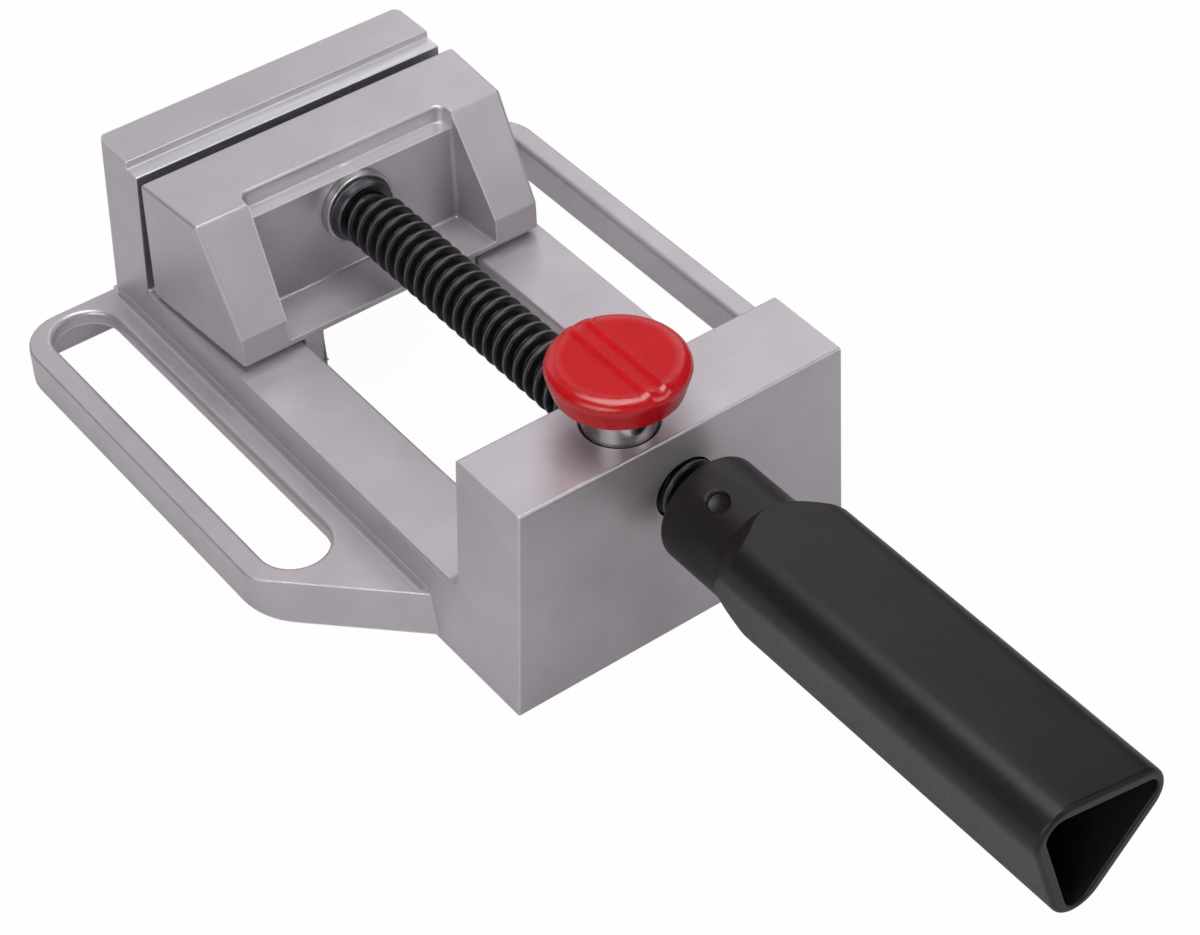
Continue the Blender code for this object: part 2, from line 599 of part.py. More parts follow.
def threaded_shaft(front, rear, thread_start, turns, crest, root, widen, sides=THREAD_SIDES):
    """A right-hand threaded shaft along Y. front and rear are (radius, y) pairs from each end up to the
    thread's root; widen is added to each flank, so that a cutter clears the thread that it is made for.
    """
    half_crest = THREAD_CREST / 2 + widen
    half_root = half_crest + THREAD_FLANK
    middle = THREAD_PITCH / 2
    ridge = [(root, middle - half_root), (crest, middle - half_crest), (crest, middle + half_crest),
             (root, middle + half_root)]
    columns = []
    for step in range(sides):
        angle = math.tau * step / sides
        advance = THREAD_PITCH * step / sides
        profile = list(front)
        for turn in range(turns):
            shift = thread_start + advance + THREAD_PITCH * turn
            profile += [(radius, shift + along) for radius, along in ridge]
        profile += rear
        across, up = math.sin(angle), math.cos(angle)
        columns.append([(radius * across, y, SCREW_HEIGHT + radius * up) for radius, y in profile])
    length = len(columns[0])
    points = [point for column in columns for point in column]
    first, last = len(front), length - len(rear)
    faces = [tuple(step * length for step in range(sides)),
             tuple(step * length + length - 1 for step in range(sides))]
    for step in range(sides - 1):
        here, there = step * length, (step + 1) * length
        faces += [(here + i, here + i + 1, there + i + 1, there + i) for i in range(length - 1)]
    here = (sides - 1) * length
    faces += [(here + i, here + i + 1, i + 1, i) for i in range(first - 1)]
    faces += [(here + i, here + i + 1, i + 1, i) for i in range(last, length - 1)]
    faces += [(here + i, here + i + 1, i + len(ridge) + 1, i + len(ridge))
              for i in range(first, last - len(ridge) - 1)]
    ends = len(ridge)
    faces.append(tuple(first + i for i in range(ends)))
    faces.append((here + first - 1, first - 1, first, first + ends - 1, first + ends, here + first))
    tail = here + last - ends
    faces.append(tuple(tail + i for i in range(ends)))
    faces.append((tail - 1, tail, tail + ends - 1, here + last, last, last - 1))
    return points, faces


def thread_turns(low, high):
    """How many whole turns of thread fit between two places."""
    return int((high - low) / THREAD_PITCH) - 1


def build_screw(parent):
    turns = thread_turns(THREAD_END, JOURNAL_FRONT)
    front = [(TAIL_RADIUS, TAIL_END), (TAIL_RADIUS, THREAD_END), (THREAD_ROOT, THREAD_END)]
    groove_front = GROOVE_REAR - GROOVE_WIDTH
    rear = [(THREAD_ROOT, JOURNAL_FRONT), (JOURNAL_RADIUS, JOURNAL_FRONT), (JOURNAL_RADIUS, groove_front),
            (GROOVE_RADIUS, groove_front), (GROOVE_RADIUS, GROOVE_REAR), (JOURNAL_RADIUS, GROOVE_REAR),
            (JOURNAL_RADIUS, JOURNAL_REAR)]
    shaft = threaded_shaft(front, rear, THREAD_END, turns, SCREW_RADIUS, THREAD_ROOT, 0)
    screw = add_object("lead_screw", shaft, "black_oxide", parent)
    cut(screw, "tail_pin_hole", handle_pin_solid(HANDLE_PIN_RADIUS + TOUCH, NECK_RADIUS))
    return screw


def handle_pin_solid(radius, reach):
    """A pin right across the handle's neck, tipped to one side of upright."""
    points, faces = turned([(radius, -reach), (radius, reach)], (0, 0), sides=SMALL_SIDES)
    place = Matrix.Translation((0, HANDLE_PIN_PLACE, SCREW_HEIGHT)) @ Matrix.Rotation(HANDLE_PIN_TURN, 4, "Y")
    return [place @ Vector(point) for point in points], faces


def grip_outline(flat, corner):
    """The grip's section round its axis: three flats at one distance, joined by corner arcs."""
    outline = []
    to_corner = (flat - corner) * 2
    for index in range(3):
        middle = math.pi / 2 + math.radians(60) - GRIP_TURN + index * math.tau / 3
        centre = (to_corner * math.cos(middle), to_corner * math.sin(middle))
        outline += arc(centre, corner, middle - math.pi / 3, middle + math.pi / 3, ARC_STEPS)
        following = middle + math.tau / 3
        end = Vector(outline[-1])
        start = Vector((to_corner * math.cos(following), to_corner * math.sin(following)))
        start += corner * Vector((math.cos(following - math.pi / 3), math.sin(following - math.pi / 3)))
        outline += [tuple(end.lerp(start, step / FLAT_STEPS)) for step in range(1, FLAT_STEPS)]
    return outline


def handle_ring(outline, along, radius=None):
    """The section at a place along the handle, or a circle whose points face the section's."""
    points = []
    for x, z in outline:
        scale = radius / math.hypot(x, z) if radius else 1
        points.append((x * scale, along, SCREW_HEIGHT + z * scale))
    return points


def build_handle(parent):
    outside = grip_outline(GRIP_FLAT, GRIP_CORNER)
    inside = grip_outline(GRIP_FLAT - GRIP_WALL, GRIP_HOLLOW_CORNER)
    bore = TAIL_RADIUS + TOUCH
    bore_end = TAIL_END - TOUCH
    roof = bore_end - GRIP_ROOF
    handle = add_object("handle", loft([
        handle_ring(outside, bore_end, bore), handle_ring(outside, NECK_REAR, bore),
        handle_ring(outside, NECK_REAR, NECK_RADIUS), handle_ring(outside, SHOULDER_START, NECK_RADIUS),
        handle_ring(outside, GRIP_START), handle_ring(outside, GRIP_END),
        handle_ring(inside, GRIP_END), handle_ring(inside, roof),
    ]), "black_plastic", parent)
    cut(handle, "neck_pin_hole", handle_pin_solid(HANDLE_PIN_RADIUS + TOUCH, NECK_RADIUS + OVERLAP))
    pin = handle_pin_solid(HANDLE_PIN_RADIUS, NECK_RADIUS - HANDLE_PIN_RECESS)
    add_object("handle_pin", pin, "black_oxide", parent)


def build_release(parent):
    """The plunger with its half nut, its collar and button, and the spring and plug under it."""
    middle = (RELEASE_X, BLOCK_MIDDLE)
    pocket = SPRING_RADIUS + SPRING_WIRE_RADIUS + SLIDE
    pocket_top = PLUNGER_FOOT + SPRING_POCKET_DEPTH
    plunger = add_object("release_plunger", turned([
        (pocket, pocket_top), (pocket, PLUNGER_FOOT), (PLUNGER_FLANGE_RADIUS, PLUNGER_FOOT),
        (PLUNGER_FLANGE_RADIUS, FLANGE_TOP), (PLUNGER_RADIUS, FLANGE_TOP),
        (PLUNGER_RADIUS, COLLAR_BOTTOM - TOUCH), (SPIGOT_RADIUS, COLLAR_BOTTOM - TOUCH),
        (SPIGOT_RADIUS, SPIGOT_TOP)], middle), "bright_steel", parent)
    cut(plunger, "nut_thread", nut_cutter())
    cut(plunger, "screw_passage", screw_passage())
    collar = tube(COLLAR_RADIUS, SPIGOT_RADIUS + TOUCH, COLLAR_BOTTOM, COLLAR_TOP, middle)
    add_object("release_collar", collar, "bright_steel", parent)
    build_button(middle, parent)


def nut_cutter():
    """The screw's own thread, a little larger, long enough to pass right through the plunger."""
    reach = PLUNGER_RADIUS + THREAD_PITCH
    skipped = int((BLOCK_MIDDLE - reach - THREAD_END) / THREAD_PITCH)
    start = THREAD_END + skipped * THREAD_PITCH
    turns = thread_turns(start, BLOCK_MIDDLE + reach + THREAD_PITCH)
    root = THREAD_ROOT + NUT_CLEARANCE
    end = start + (turns + 1) * THREAD_PITCH
    return threaded_shaft([(root, start)], [(root, end)], start, turns, SCREW_RADIUS + NUT_CLEARANCE, root,
                          NUT_CLEARANCE)


def screw_passage():
    """The way that the screw needs through the plunger as it is pressed: only the half nut stays below it."""
    half = SCREW_RADIUS + RUN
    top = SCREW_HEIGHT + RELEASE_TRAVEL
    outline = [(-half, SCREW_HEIGHT - NUT_TOP_DROP), (half, SCREW_HEIGHT - NUT_TOP_DROP)]
    outline += arc((0, top), half, 0, math.pi, ROUND_SIDES // 2)
    low, high = BLOCK_MIDDLE - PLUNGER_RADIUS - OVERLAP, BLOCK_MIDDLE + PLUNGER_RADIUS + OVERLAP
    points, faces = prism(outline, low, high)
    return [(x, y, z) for x, z, y in points], faces


def build_button(middle, parent):
    """The button's skirt widens up to a rounded rim; two low ribs cross its slightly crowned top."""
    socket = COLLAR_RADIUS + TOUCH
    top = BUTTON_FOOT + BUTTON_HEIGHT
    rim = BUTTON_RIM_RADIUS - BUTTON_RIM_ROUND
    profile = [(SPIGOT_RADIUS + TOUCH, BUTTON_FOOT + BUTTON_SOCKET_DEPTH),
               (SPIGOT_RADIUS + TOUCH, COLLAR_TOP + TOUCH), (socket, COLLAR_TOP + TOUCH),
               (socket, BUTTON_FOOT), (BUTTON_FOOT_RADIUS, BUTTON_FOOT),
               (BUTTON_RIM_RADIUS, BUTTON_FOOT + BUTTON_RIM_HEIGHT)]
    rise = BUTTON_HEIGHT - BUTTON_RIM_HEIGHT
    for step in range(1, ARC_STEPS):
        angle = math.pi / 2 * step / ARC_STEPS
        profile.append((rim + BUTTON_RIM_ROUND * math.cos(angle),
                        BUTTON_FOOT + BUTTON_RIM_HEIGHT + rise * math.sin(angle)))
    profile.append((rim, top))
    button = add_object("release_button", turned(profile, middle), "red_plastic", parent)
    reach = rim - OVERLAP
    for side, name in ((1, "right"), (-1, "left")):
        x = middle[0] + side * BUTTON_RIB_SPACING / 2
        half = BUTTON_RIB_WIDTH / 2
        crown = [(x - half, top - OVERLAP), (x - half, top)]
        crown += [(x - half * math.cos(a), top + BUTTON_RIB_HEIGHT * math.sin(a))
                  for a in (math.pi * step / ARC_STEPS for step in range(1, ARC_STEPS))]
        crown += [(x + half, top), (x + half, top - OVERLAP)]
        points, faces = prism(crown, middle[1] - reach, middle[1] + reach)
        join(button, f"{name}_grip_rib", ([(px, py, pz) for px, pz, py in points], faces))


def spring_path():
    """The spring's wire, as points: flat end turns and an even pitch between them."""
    count = SPRING_TURNS * SPRING_POINTS
    end_turn = SPRING_POINTS
    lift = 2.6 * SPRING_WIRE_RADIUS
    points = []
    for step in range(count + 1):
        angle = math.tau * step / SPRING_POINTS
        if step <= end_turn:
            height = SPRING_BOTTOM + lift * step / end_turn
        elif step >= count - end_turn:
            height = SPRING_TOP - lift * (count - step) / end_turn
        else:
            share = (step - end_turn) / (count - 2 * end_turn)
            height = SPRING_BOTTOM + lift + (SPRING_TOP - SPRING_BOTTOM - 2 * lift) * share
        points.append(Vector((RELEASE_X + SPRING_RADIUS * math.sin(angle),
                              BLOCK_MIDDLE + SPRING_RADIUS * math.cos(angle), height)))
    return points


def print_least_gap(points):
    """Prints how close the wire comes to itself, measured between points at least half a turn apart."""
    apart = SPRING_POINTS // 2
    least = min((point - other).length for i, point in enumerate(points) for other in points[i + apart:])
    print(f"release_spring: least gap to itself {1000 * (least - 2 * SPRING_WIRE_RADIUS):.2f} mm")


def build_spring(parent):
    path = spring_path()
    print_least_gap(path)
    rings = []
    for index, point in enumerate(path):
        along = (path[min(index + 1, len(path) - 1)] - path[max(index - 1, 0)]).normalized()
        outward = Vector((point.x - RELEASE_X, point.y - BLOCK_MIDDLE, 0)).normalized()
        across = along.cross(outward).normalized()
        turns = [math.tau * side / SPRING_SIDES for side in range(SPRING_SIDES)]
        around = [outward * math.cos(turn) + across * math.sin(turn) for turn in turns]
        rings.append([point + SPRING_WIRE_RADIUS * side for side in around])
    add_object("release_spring", loft(rings), "spring_steel", parent)


def build_plug(parent):
    """The plug that closes the plunger's bore from below and carries the spring."""
    middle = (RELEASE_X, BLOCK_MIDDLE)
    radius = PLUNGER_FLANGE_RADIUS + SLIDE - TOUCH
    disc = turned([(radius, PLUG_SETBACK), (radius, PLUG_TOP)], middle)
    plug = add_object("spring_plug", disc, "zinc_steel", parent)
    reach = radius + OVERLAP
    half = PLUG_SLOT_WIDTH / 2
    cut(plug, "plug_slot", block((middle[0] - reach, middle[1] - half, PLUG_SETBACK - OVERLAP),
                                 (middle[0] + reach, middle[1] + half, PLUG_SETBACK + PLUG_SLOT_DEPTH)))


def main():
    clear_scene()
    whole = add_empty("vise", (0, 0, 0))
    base = add_empty("base_axis", (0, 0, 0), whole)
    jaw = add_empty("jaw_axis", (0, MOVING_REAR, MOVING_BOTTOM), whole)
    screw = add_empty("screw_axis", (0, NECK_REAR, SCREW_HEIGHT), whole)
    release = add_empty("release_axis", (RELEASE_X, BLOCK_MIDDLE, BLOCK_HEIGHT), whole)
    build_base(base)
    build_plug(base)
    build_spring(base)
    build_jaw(jaw)
    build_keepers(jaw)
    build_jaw_bearing(jaw)
    build_screw(screw)
    build_handle(screw)
    build_release(release)
    whole.location.y = ORIGIN_SHIFT
    bpy.context.view_layer.update()


main()
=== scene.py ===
"""Looks of the quick-release drill press vise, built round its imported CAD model.

The CAD's round and filleted pieces are made again here with finer facets and with the casting's soft edges,
each in the place of the node that it stands for. Metres, in the CAD's frame: +Z up, +Y from the handle to the
fixed jaw.
"""

import json
import math

import bmesh
import bpy
from mathutils import Matrix, Vector


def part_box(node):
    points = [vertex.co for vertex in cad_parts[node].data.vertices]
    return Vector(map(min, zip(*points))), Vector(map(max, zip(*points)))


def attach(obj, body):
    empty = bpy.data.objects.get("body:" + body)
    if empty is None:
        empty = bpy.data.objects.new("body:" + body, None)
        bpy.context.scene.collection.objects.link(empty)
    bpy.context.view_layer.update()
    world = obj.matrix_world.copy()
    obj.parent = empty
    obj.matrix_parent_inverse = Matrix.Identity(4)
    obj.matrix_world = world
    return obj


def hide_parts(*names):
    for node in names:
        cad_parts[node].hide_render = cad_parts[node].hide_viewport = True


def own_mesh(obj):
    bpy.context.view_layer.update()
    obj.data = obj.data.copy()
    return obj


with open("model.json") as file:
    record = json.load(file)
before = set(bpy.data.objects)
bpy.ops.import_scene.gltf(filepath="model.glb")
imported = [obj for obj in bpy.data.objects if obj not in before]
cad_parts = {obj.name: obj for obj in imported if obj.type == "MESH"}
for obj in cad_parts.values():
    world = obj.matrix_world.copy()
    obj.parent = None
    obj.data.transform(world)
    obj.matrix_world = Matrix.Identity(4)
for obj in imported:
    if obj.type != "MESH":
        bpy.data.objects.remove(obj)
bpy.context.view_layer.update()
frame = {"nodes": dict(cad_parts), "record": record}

# Places, from the frame.
BASE_LOW, BASE_HIGH = (Vector(corner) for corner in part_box("base_casting"))
JAW_LOW, JAW_HIGH = (Vector(corner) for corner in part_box("movable_jaw"))
SCREW_LOW, SCREW_HIGH = (Vector(corner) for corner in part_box("lead_screw"))
BUSH_LOW, BUSH_HIGH = (Vector(corner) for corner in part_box("screw_bush"))
HANDLE_LOW, HANDLE_HIGH = (Vector(corner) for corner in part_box("handle"))
COLLAR_LOW, COLLAR_HIGH = (Vector(corner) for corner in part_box("release_collar"))
BUTTON_LOW, BUTTON_HIGH = (Vector(corner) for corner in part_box("release_button"))
PLUG_LOW, PLUG_HIGH = (Vector(corner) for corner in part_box("spring_plug"))
KEEPER_LOW, KEEPER_HIGH = (Vector(corner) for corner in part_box("keeper_right"))

# Base casting.
FIXED_JAW_DEPTH = 0.0210
FIXED_JAW_HEIGHT = 0.0648
FIXED_JAW_CORNER = 0.0035
JAW_WIDTH = 0.1000
BASE_WIDTH = 0.1058
LEDGE_DEPTH = 0.0052
LEDGE_DROP = 0.0023
BED_LENGTH = 0.1508
RAIL_HEIGHT = 0.0240
RAIL_GAP = 0.0586
RAIL_LIP = 0.0105
KEEPER_RECESS = 0.0080
BED_WEB = 0.0040
CAST_EDGE = 0.0009
SIDE_EDGE = 0.0007
RAIL_EDGE = 0.0028
RAIL_FILLET = 0.0050
FOOT_FILLET = 0.0020
BED_CORNER = 0.0040
BORE_EDGE = 0.0005

# Ears.
EAR_TOP = 0.0125
EAR_FOOT_CLEARANCE = 0.0010
EAR_REAR_SETBACK = 0.0005
EAR_REAR_RADIUS = 0.0135
EAR_SIDE_LENGTH = 0.1251
EAR_TAPER_LENGTH = 0.0335
EAR_FRONT_RADIUS = 0.0080
EAR_FRONT_DRAFT = 0.0042
EAR_FOOT_RADIUS = 0.0220
EAR_EDGE = 0.0042
EAR_TAPER_EDGE = 0.0010
EAR_PLATE = 0.0042
HOLLOW_REAR_WALL = 0.00275
HOLLOW_STEP = 0.0010
SLOT_WIDTH = 0.0195
SLOT_TRAVEL = 0.1065
SLOT_REAR_CENTRE = 0.0070
SLOT_OFFSET = 0.0690
SLOT_EDGE = 0.0016

# Movable jaw.
MOVING_REAR_WIDTH = 0.1032
MOVING_FRONT_WIDTH = 0.0976
MOVING_LEAN = 0.0006
MOVING_HEIGHT = 0.0397
MOVING_TOP_DEPTH = 0.0257
LIP_HEIGHT = 0.0107
POCKET_WIDTH = 0.0662
POCKET_FLOOR = 0.0037
POCKET_STEP_DEPTH = 0.0050
POCKET_STEP_DROP = 0.0052
POCKET_FLARE = 0.10
POCKET_CORNER = 0.0012
POCKET_FILLET = 0.0010
POCKET_EDGE = 0.0001
STEP_CORNER = 0.0028
STEP_FILLET = 0.0008
STEP_EDGE = 0.0009
LEDGE_EDGE = 0.0010
FLANGE_EDGE = 0.0012
JAW_EDGE = 0.0011
FOOT_INSET = 0.0020
FOOT_HEIGHT = 0.0015
RIB_WIDTH = 0.0064

# Clearances between pieces, two smaller ones for cutters, and how far a cutter reaches past what it cuts.
SLIDE = 0.0004
TOUCH = 0.0003
SLIVER = TOUCH / 3
HAIR = TOUCH / 10
OVERLAP = 0.0010

# Lead screw and bush.
SCREW_RADIUS = 0.00875
THREAD_DEPTH = 0.0021
THREAD_PITCH = 0.0045
THREAD_CREST = 0.0018
THREAD_FLANK = 0.0006
THREAD_ROUND = 0.0003
# How the thread's root and crest are rounded, as shares of that radius across and along the screw.
THREAD_ROOT_ROUND = ((0.0, -1.0), (0.4, -0.3), (1.6, 0.15))
THREAD_CREST_ROUND = ((1.0, -0.2), (0.35, 0.2), (0.0, 1.0))
THREAD_RUN_OUT = 0.15
THREAD_CROWN = 0.06
THREAD_PHASE = 0.10
# The thread's crest is painted grey between these shares of its crown, counted from the top: rubbed wear, and
# a painted highlight along the crest too.
CREST_WEAR_AND_HIGHLIGHT = (0.8, 0.3)
JOURNAL_RADIUS = 0.0066
TAIL_RADIUS = 0.0060
TAIL_LENGTH = 0.0275
BUSH_SEAT_RADIUS = 0.0102
BUSH_STAND_OUT = 0.0027
BUSH_RIM = 0.0005
BUSH_FILLET = 0.0007
BUSH_HUB_BASE = 0.0102
BUSH_HUB_TIP = 0.0092

# Handle.
NECK_RADIUS = 0.0150
NECK_LENGTH = 0.0222
SHOULDER_LENGTH = 0.0085
GRIP_FLAT = 0.0151
GRIP_CORNER = 0.0085
GRIP_WALL = 0.0034
GRIP_HOLLOW_CORNER = 0.0040
GRIP_ROOF = 0.0060
GRIP_TURN = math.radians(12.0)
NECK_EDGE = 0.0022
MOUTH_EDGE = 0.0013
PIN_RADIUS = 0.0027
PIN_INSET = 0.0123
PIN_TURN = math.radians(-24.0)
PIN_RECESS = 0.0009
PIN_DISH = 0.0003
PIN_RIM = 0.0012
PIN_GAP = 0.0001
NECK_SINK = 0.0006
NECK_FADE = 0.0150
PIN_ZONE = 0.0045

# Release button and collar.
SPIGOT_RADIUS = 0.0048
BUTTON_FOOT_RADIUS = 0.0166
BUTTON_RIM_HEIGHT = 0.0065
BUTTON_RIM_ROUND = 0.0036
BUTTON_FOOT_ROUND = 0.0006
BUTTON_RIB_HEIGHT = 0.0005
BUTTON_RIB_WIDTH = 0.0042
BUTTON_RIB_SPACING = 0.0050
BUTTON_SOCKET_DEPTH = 0.0066
RIM_FADE = 0.0012
COLLAR_CHAMFER = 0.0006
COLLAR_ROOM = 0.0053

# The photo's camera, fitted to the jaws' and block's edges in its 1200 by 935 frame.
CAMERA_PLACE = (-0.3427, -0.4618, 0.5649)
CAMERA_AZIMUTH = math.radians(-36.05)
CAMERA_ELEVATION = math.radians(42.61)
CAMERA_ROLL = math.radians(-1.63)
CAMERA_LENS = 91.75
SENSOR_WIDTH = 36

# Studio.
FLOOR_HALF = 4
FLOOR_DEPTH = 0.02
FLOOR_GAP = 0.0002
FLOOR_COLOUR = (0.60, 0.60, 0.60)
# The share of the floor that is plain white for each kind of ray that shows it; the rest is lit and shaded.
FLOOR_WHITE = {"Is Camera Ray": 0.975, "Is Glossy Ray": 0.20, "Is Transmission Ray": 0.975}
WORLD_STRENGTH = 0.03
LIGHT_DISTANCE = 1.3
# Each light's turn from the vise's front and its height in degrees, width in metres and power in watts.
LIGHTS = {"overhead": (180, 86, 0.8, 11.6), "left": (284, 30, 0.7, 3.6), "front_right": (34, 35, 0.6, 2.6),
          "back_right": (134, 34, 0.8, 2.3), "back": (180, 28, 0.8, 1.4), "front": (-8, 16, 0.8, 0.7),
          "beside_camera": (-52, 30, 0.5, 2.6)}

# Places that follow.
FACE = BASE_HIGH.y - FIXED_JAW_DEPTH
LEDGE = FIXED_JAW_HEIGHT - LEDGE_DROP
BLOCK_REAR = FACE - BED_LENGTH
BLOCK_FRONT = BASE_LOW.y
BLOCK_HEIGHT = BASE_HIGH.z
BASE_HALF = BASE_WIDTH / 2
RAIL_INNER = RAIL_GAP / 2
EAR_REACH = BASE_HIGH.x
EAR_REAR = BASE_HIGH.y - EAR_REAR_SETBACK
SLOT_REAR = FACE + SLOT_REAR_CENTRE
SLOT_FRONT = SLOT_REAR - SLOT_TRAVEL
POCKET_BACK = JAW_HIGH.y - MOVING_TOP_DEPTH
MOVING_BOTTOM = RAIL_HEIGHT + TOUCH
FOOT_TOP = MOVING_BOTTOM + FOOT_HEIGHT
SCREW_HEIGHT = (SCREW_LOW.z + SCREW_HIGH.z) / 2
THREAD_ROOT = SCREW_RADIUS - THREAD_DEPTH
NECK_REAR = HANDLE_HIGH.y
SHOULDER_START = NECK_REAR - NECK_LENGTH
TAIL_END = NECK_REAR - TAIL_LENGTH
RELEASE_X = (COLLAR_LOW.x + COLLAR_HIGH.x) / 2
RELEASE_Y = (COLLAR_LOW.y + COLLAR_HIGH.y) / 2
SCREW_AXIS = (0, SCREW_HEIGHT)
RELEASE_AXIS = (RELEASE_X, RELEASE_Y)
BUTTON_INNER = (BUTTON_HIGH.x - BUTTON_LOW.x) / 2 - BUTTON_RIM_ROUND

# Facets.
ROUND_SIDES = 96
THREAD_SIDES = 64
NECK_SIDES = 192
PIN_SIDES = 48
BUTTON_SIDES = 480
BUTTON_RINGS = 20
BUTTON_ROWS = 16
ARC_STEPS = 8
EDGE_STEPS = 4
SLOT_STEPS = 24
MOUTH_STEPS = 5
PIN_RIM_STEPS = 6
GRIP_CORNER_STEPS = 12
GRIP_FLAT_STEPS = 16

# Shares of a normal along an axis by which faces and edges are picked.
FACING = 0.9
SQUARELY_FACING = 0.99
HALF_FACING = 0.5
LEDGE_FACING = 0.3
TAPER_FACING = 0.6
# Two faces whose normals agree by more than this meet without an edge to soften.
SMOOTH_JOINT = 0.8

# Edges painted brighter, a painted highlight that also stands for rubbed wear: how wide, and where the
# agreement of the rounded and true normal fades.
HIGHLIGHT_AND_WEAR_RADIUS = 0.0008
HIGHLIGHT_AND_WEAR_SAMPLES = 6
HIGHLIGHT_AND_WEAR_FADE = (0.80, 0.985)

# Places of the colours among the mix node's inputs and outputs.
MIX_FIRST = 6
MIX_SECOND = 7
MIX_RESULT = 2


def link_object(name, data):
    made = bpy.data.objects.new(name, data)
    bpy.context.scene.collection.objects.link(made)
    return made


def make_object(name, parts):
    """An object from a (points, faces) pair, with its faces turned outward."""
    mesh = bpy.data.meshes.new(name)
    mesh.from_pydata([tuple(point) for point in parts[0]], [], parts[1])
    shape = bmesh.new()
    shape.from_mesh(mesh)
    bmesh.ops.recalc_face_normals(shape, faces=shape.faces)
    shape.to_mesh(mesh)
    shape.free()
    return link_object(name, mesh)


def settle(made):
    """Applies the modifiers of an object to its mesh."""
    graph = bpy.context.evaluated_depsgraph_get()
    mesh = bpy.data.meshes.new_from_object(made.evaluated_get(graph))
    made.modifiers.clear()
    made.data = mesh
    return made


def combine(target, operation, parts):
    """Cuts a shape out of the target, joins it on, or keeps what both share. parts may also be an object."""
    helper = parts if isinstance(parts, bpy.types.Object) else make_object("helper", parts)
    modifier = target.modifiers.new("combine", "BOOLEAN")
    modifier.operation = operation
    modifier.solver = "EXACT"
    modifier.object = helper
    settle(target)
    bpy.data.objects.remove(helper, do_unlink=True)


def cut(target, parts):
    combine(target, "DIFFERENCE", parts)


def join(target, parts):
    combine(target, "UNION", parts)


def soften(made, weigh, width, clamped=True):
    """Rounds the edges that weigh(edge's middle, its two faces' normals) gives a radius to, up to width."""
    mesh = made.data
    shape = bmesh.new()
    shape.from_mesh(mesh)
    layer = shape.edges.layers.float.new("bevel_weight_edge")
    for edge in shape.edges:
        if len(edge.link_faces) == 2:
            middle = (edge.verts[0].co + edge.verts[1].co) / 2
            edge[layer] = weigh(middle, [face.normal for face in edge.link_faces]) / width
    shape.to_mesh(mesh)
    shape.free()
    bevel = made.modifiers.new("soften", "BEVEL")
    bevel.limit_method = "WEIGHT"
    bevel.width = width
    bevel.segments = EDGE_STEPS
    bevel.use_clamp_overlap = clamped
    return settle(made)


def present(made, node, body, slot, looks, sharp=30):
    """Names a finished piece, shades it, and says what it rides on and which node it stands for."""
    made.name = node + "_skin"
    made.data.materials.clear()
    made.data.materials.append(looks[slot])
    made.data.shade_smooth()
    made.data.set_sharp_from_angle(angle=math.radians(sharp))
    normals = made.modifiers.new("even_normals", "WEIGHTED_NORMAL")
    normals.keep_sharp = True
    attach(made, body)
    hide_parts(node)


def paint_faces(made, material, chosen):
    """Gives the faces that chosen(middle, normal) picks a material of their own."""
    made.data.materials.append(material)
    for face in made.data.polygons:
        if chosen(face.center, face.normal):
            face.material_index = len(made.data.materials) - 1


def raised(outline, height, side=1):
    """A flat outline lifted to a height, and mirrored where side is -1."""
    return [(side * x, y, height) for x, y in outline]


def prism(outline, low, high, axis="Z"):
    """A straight prism on an outline: (x, y) points raised along Z, or (y, z) points drawn out along X."""
    if axis == "Z":
        return loft([raised(outline, low), raised(outline, high)])
    return loft([[(place, y, z) for y, z in outline] for place in (low, high)])


def block(low, high):
    outline = [(low[0], low[1]), (high[0], low[1]), (high[0], high[1]), (low[0], high[1])]
    return prism(outline, low[2], high[2])


def ring(radius, along, centre, axis, sides):
    """A circle round a line along Y through (x, z), or along Z through (x, y)."""
    points = []
    for step in range(sides):
        angle = math.tau * step / sides
        first, second = centre[0] + radius * math.sin(angle), centre[1] + radius * math.cos(angle)
        points.append((first, along, second) if axis == "Y" else (first, second, along))
    return points


def loft(rings, closed=False):
    """A skin over rings of equally many points: capped at both ends, or closed from the last to the first."""
    sides = len(rings[0])
    points = [point for each in rings for point in each]
    faces = [] if closed else [tuple(range(sides)), tuple(range(len(points) - sides, len(points)))]
    for level in range(len(rings) if closed else len(rings) - 1):
        base, over = level * sides, (level + 1) % len(rings) * sides
        for i in range(sides):
            j = (i + 1) % sides
            faces.append((base + i, base + j, over + j, over + i))
    return points, faces


def turned(profile, centre, axis="Z", closed=False, sides=ROUND_SIDES):
    """A solid of revolution from (radius, place along the axis) pairs."""
    return loft([ring(radius, along, centre, axis, sides) for radius, along in profile], closed)


def arc(centre, radius, start, end, steps=ARC_STEPS):
    """Points on an arc, both ends included. Angles run from the first coordinate towards the second."""
    angles = [start + (end - start) * step / steps for step in range(steps + 1)]
    return [(centre[0] + radius * math.cos(a), centre[1] + radius * math.sin(a)) for a in angles]


def quarter_turn(steps=ARC_STEPS):
    """The (sine, cosine) pairs of angles from zero to a right angle, both included."""
    angles = [math.pi / 2 * step / steps for step in range(steps + 1)]
    return [(math.sin(angle), math.cos(angle)) for angle in angles]


def rounded_outline(corners, steps=ARC_STEPS):
    """A polygon from (point, radius) pairs, with each corner of a radius above zero turned into an arc."""
    outline = []
    for index, (point, radius) in enumerate(corners):
        here = Vector(point)
        before = (Vector(corners[index - 1][0]) - here).normalized()
        after = (Vector(corners[(index + 1) % len(corners)][0]) - here).normalized()
        if radius == 0:
            outline.append(tuple(here))
            continue
        half = before.angle(after) / 2
        centre = here + (before + after).normalized() * radius / math.sin(half)
        start = here + before * radius / math.tan(half) - centre
        end = here + after * radius / math.tan(half) - centre
        first = math.atan2(start.y, start.x)
        outline += arc(centre, radius, first, first - start.angle_signed(end), steps)
    return outline


def mirrored(outline):
    return [(-x, y) for x, y in outline]


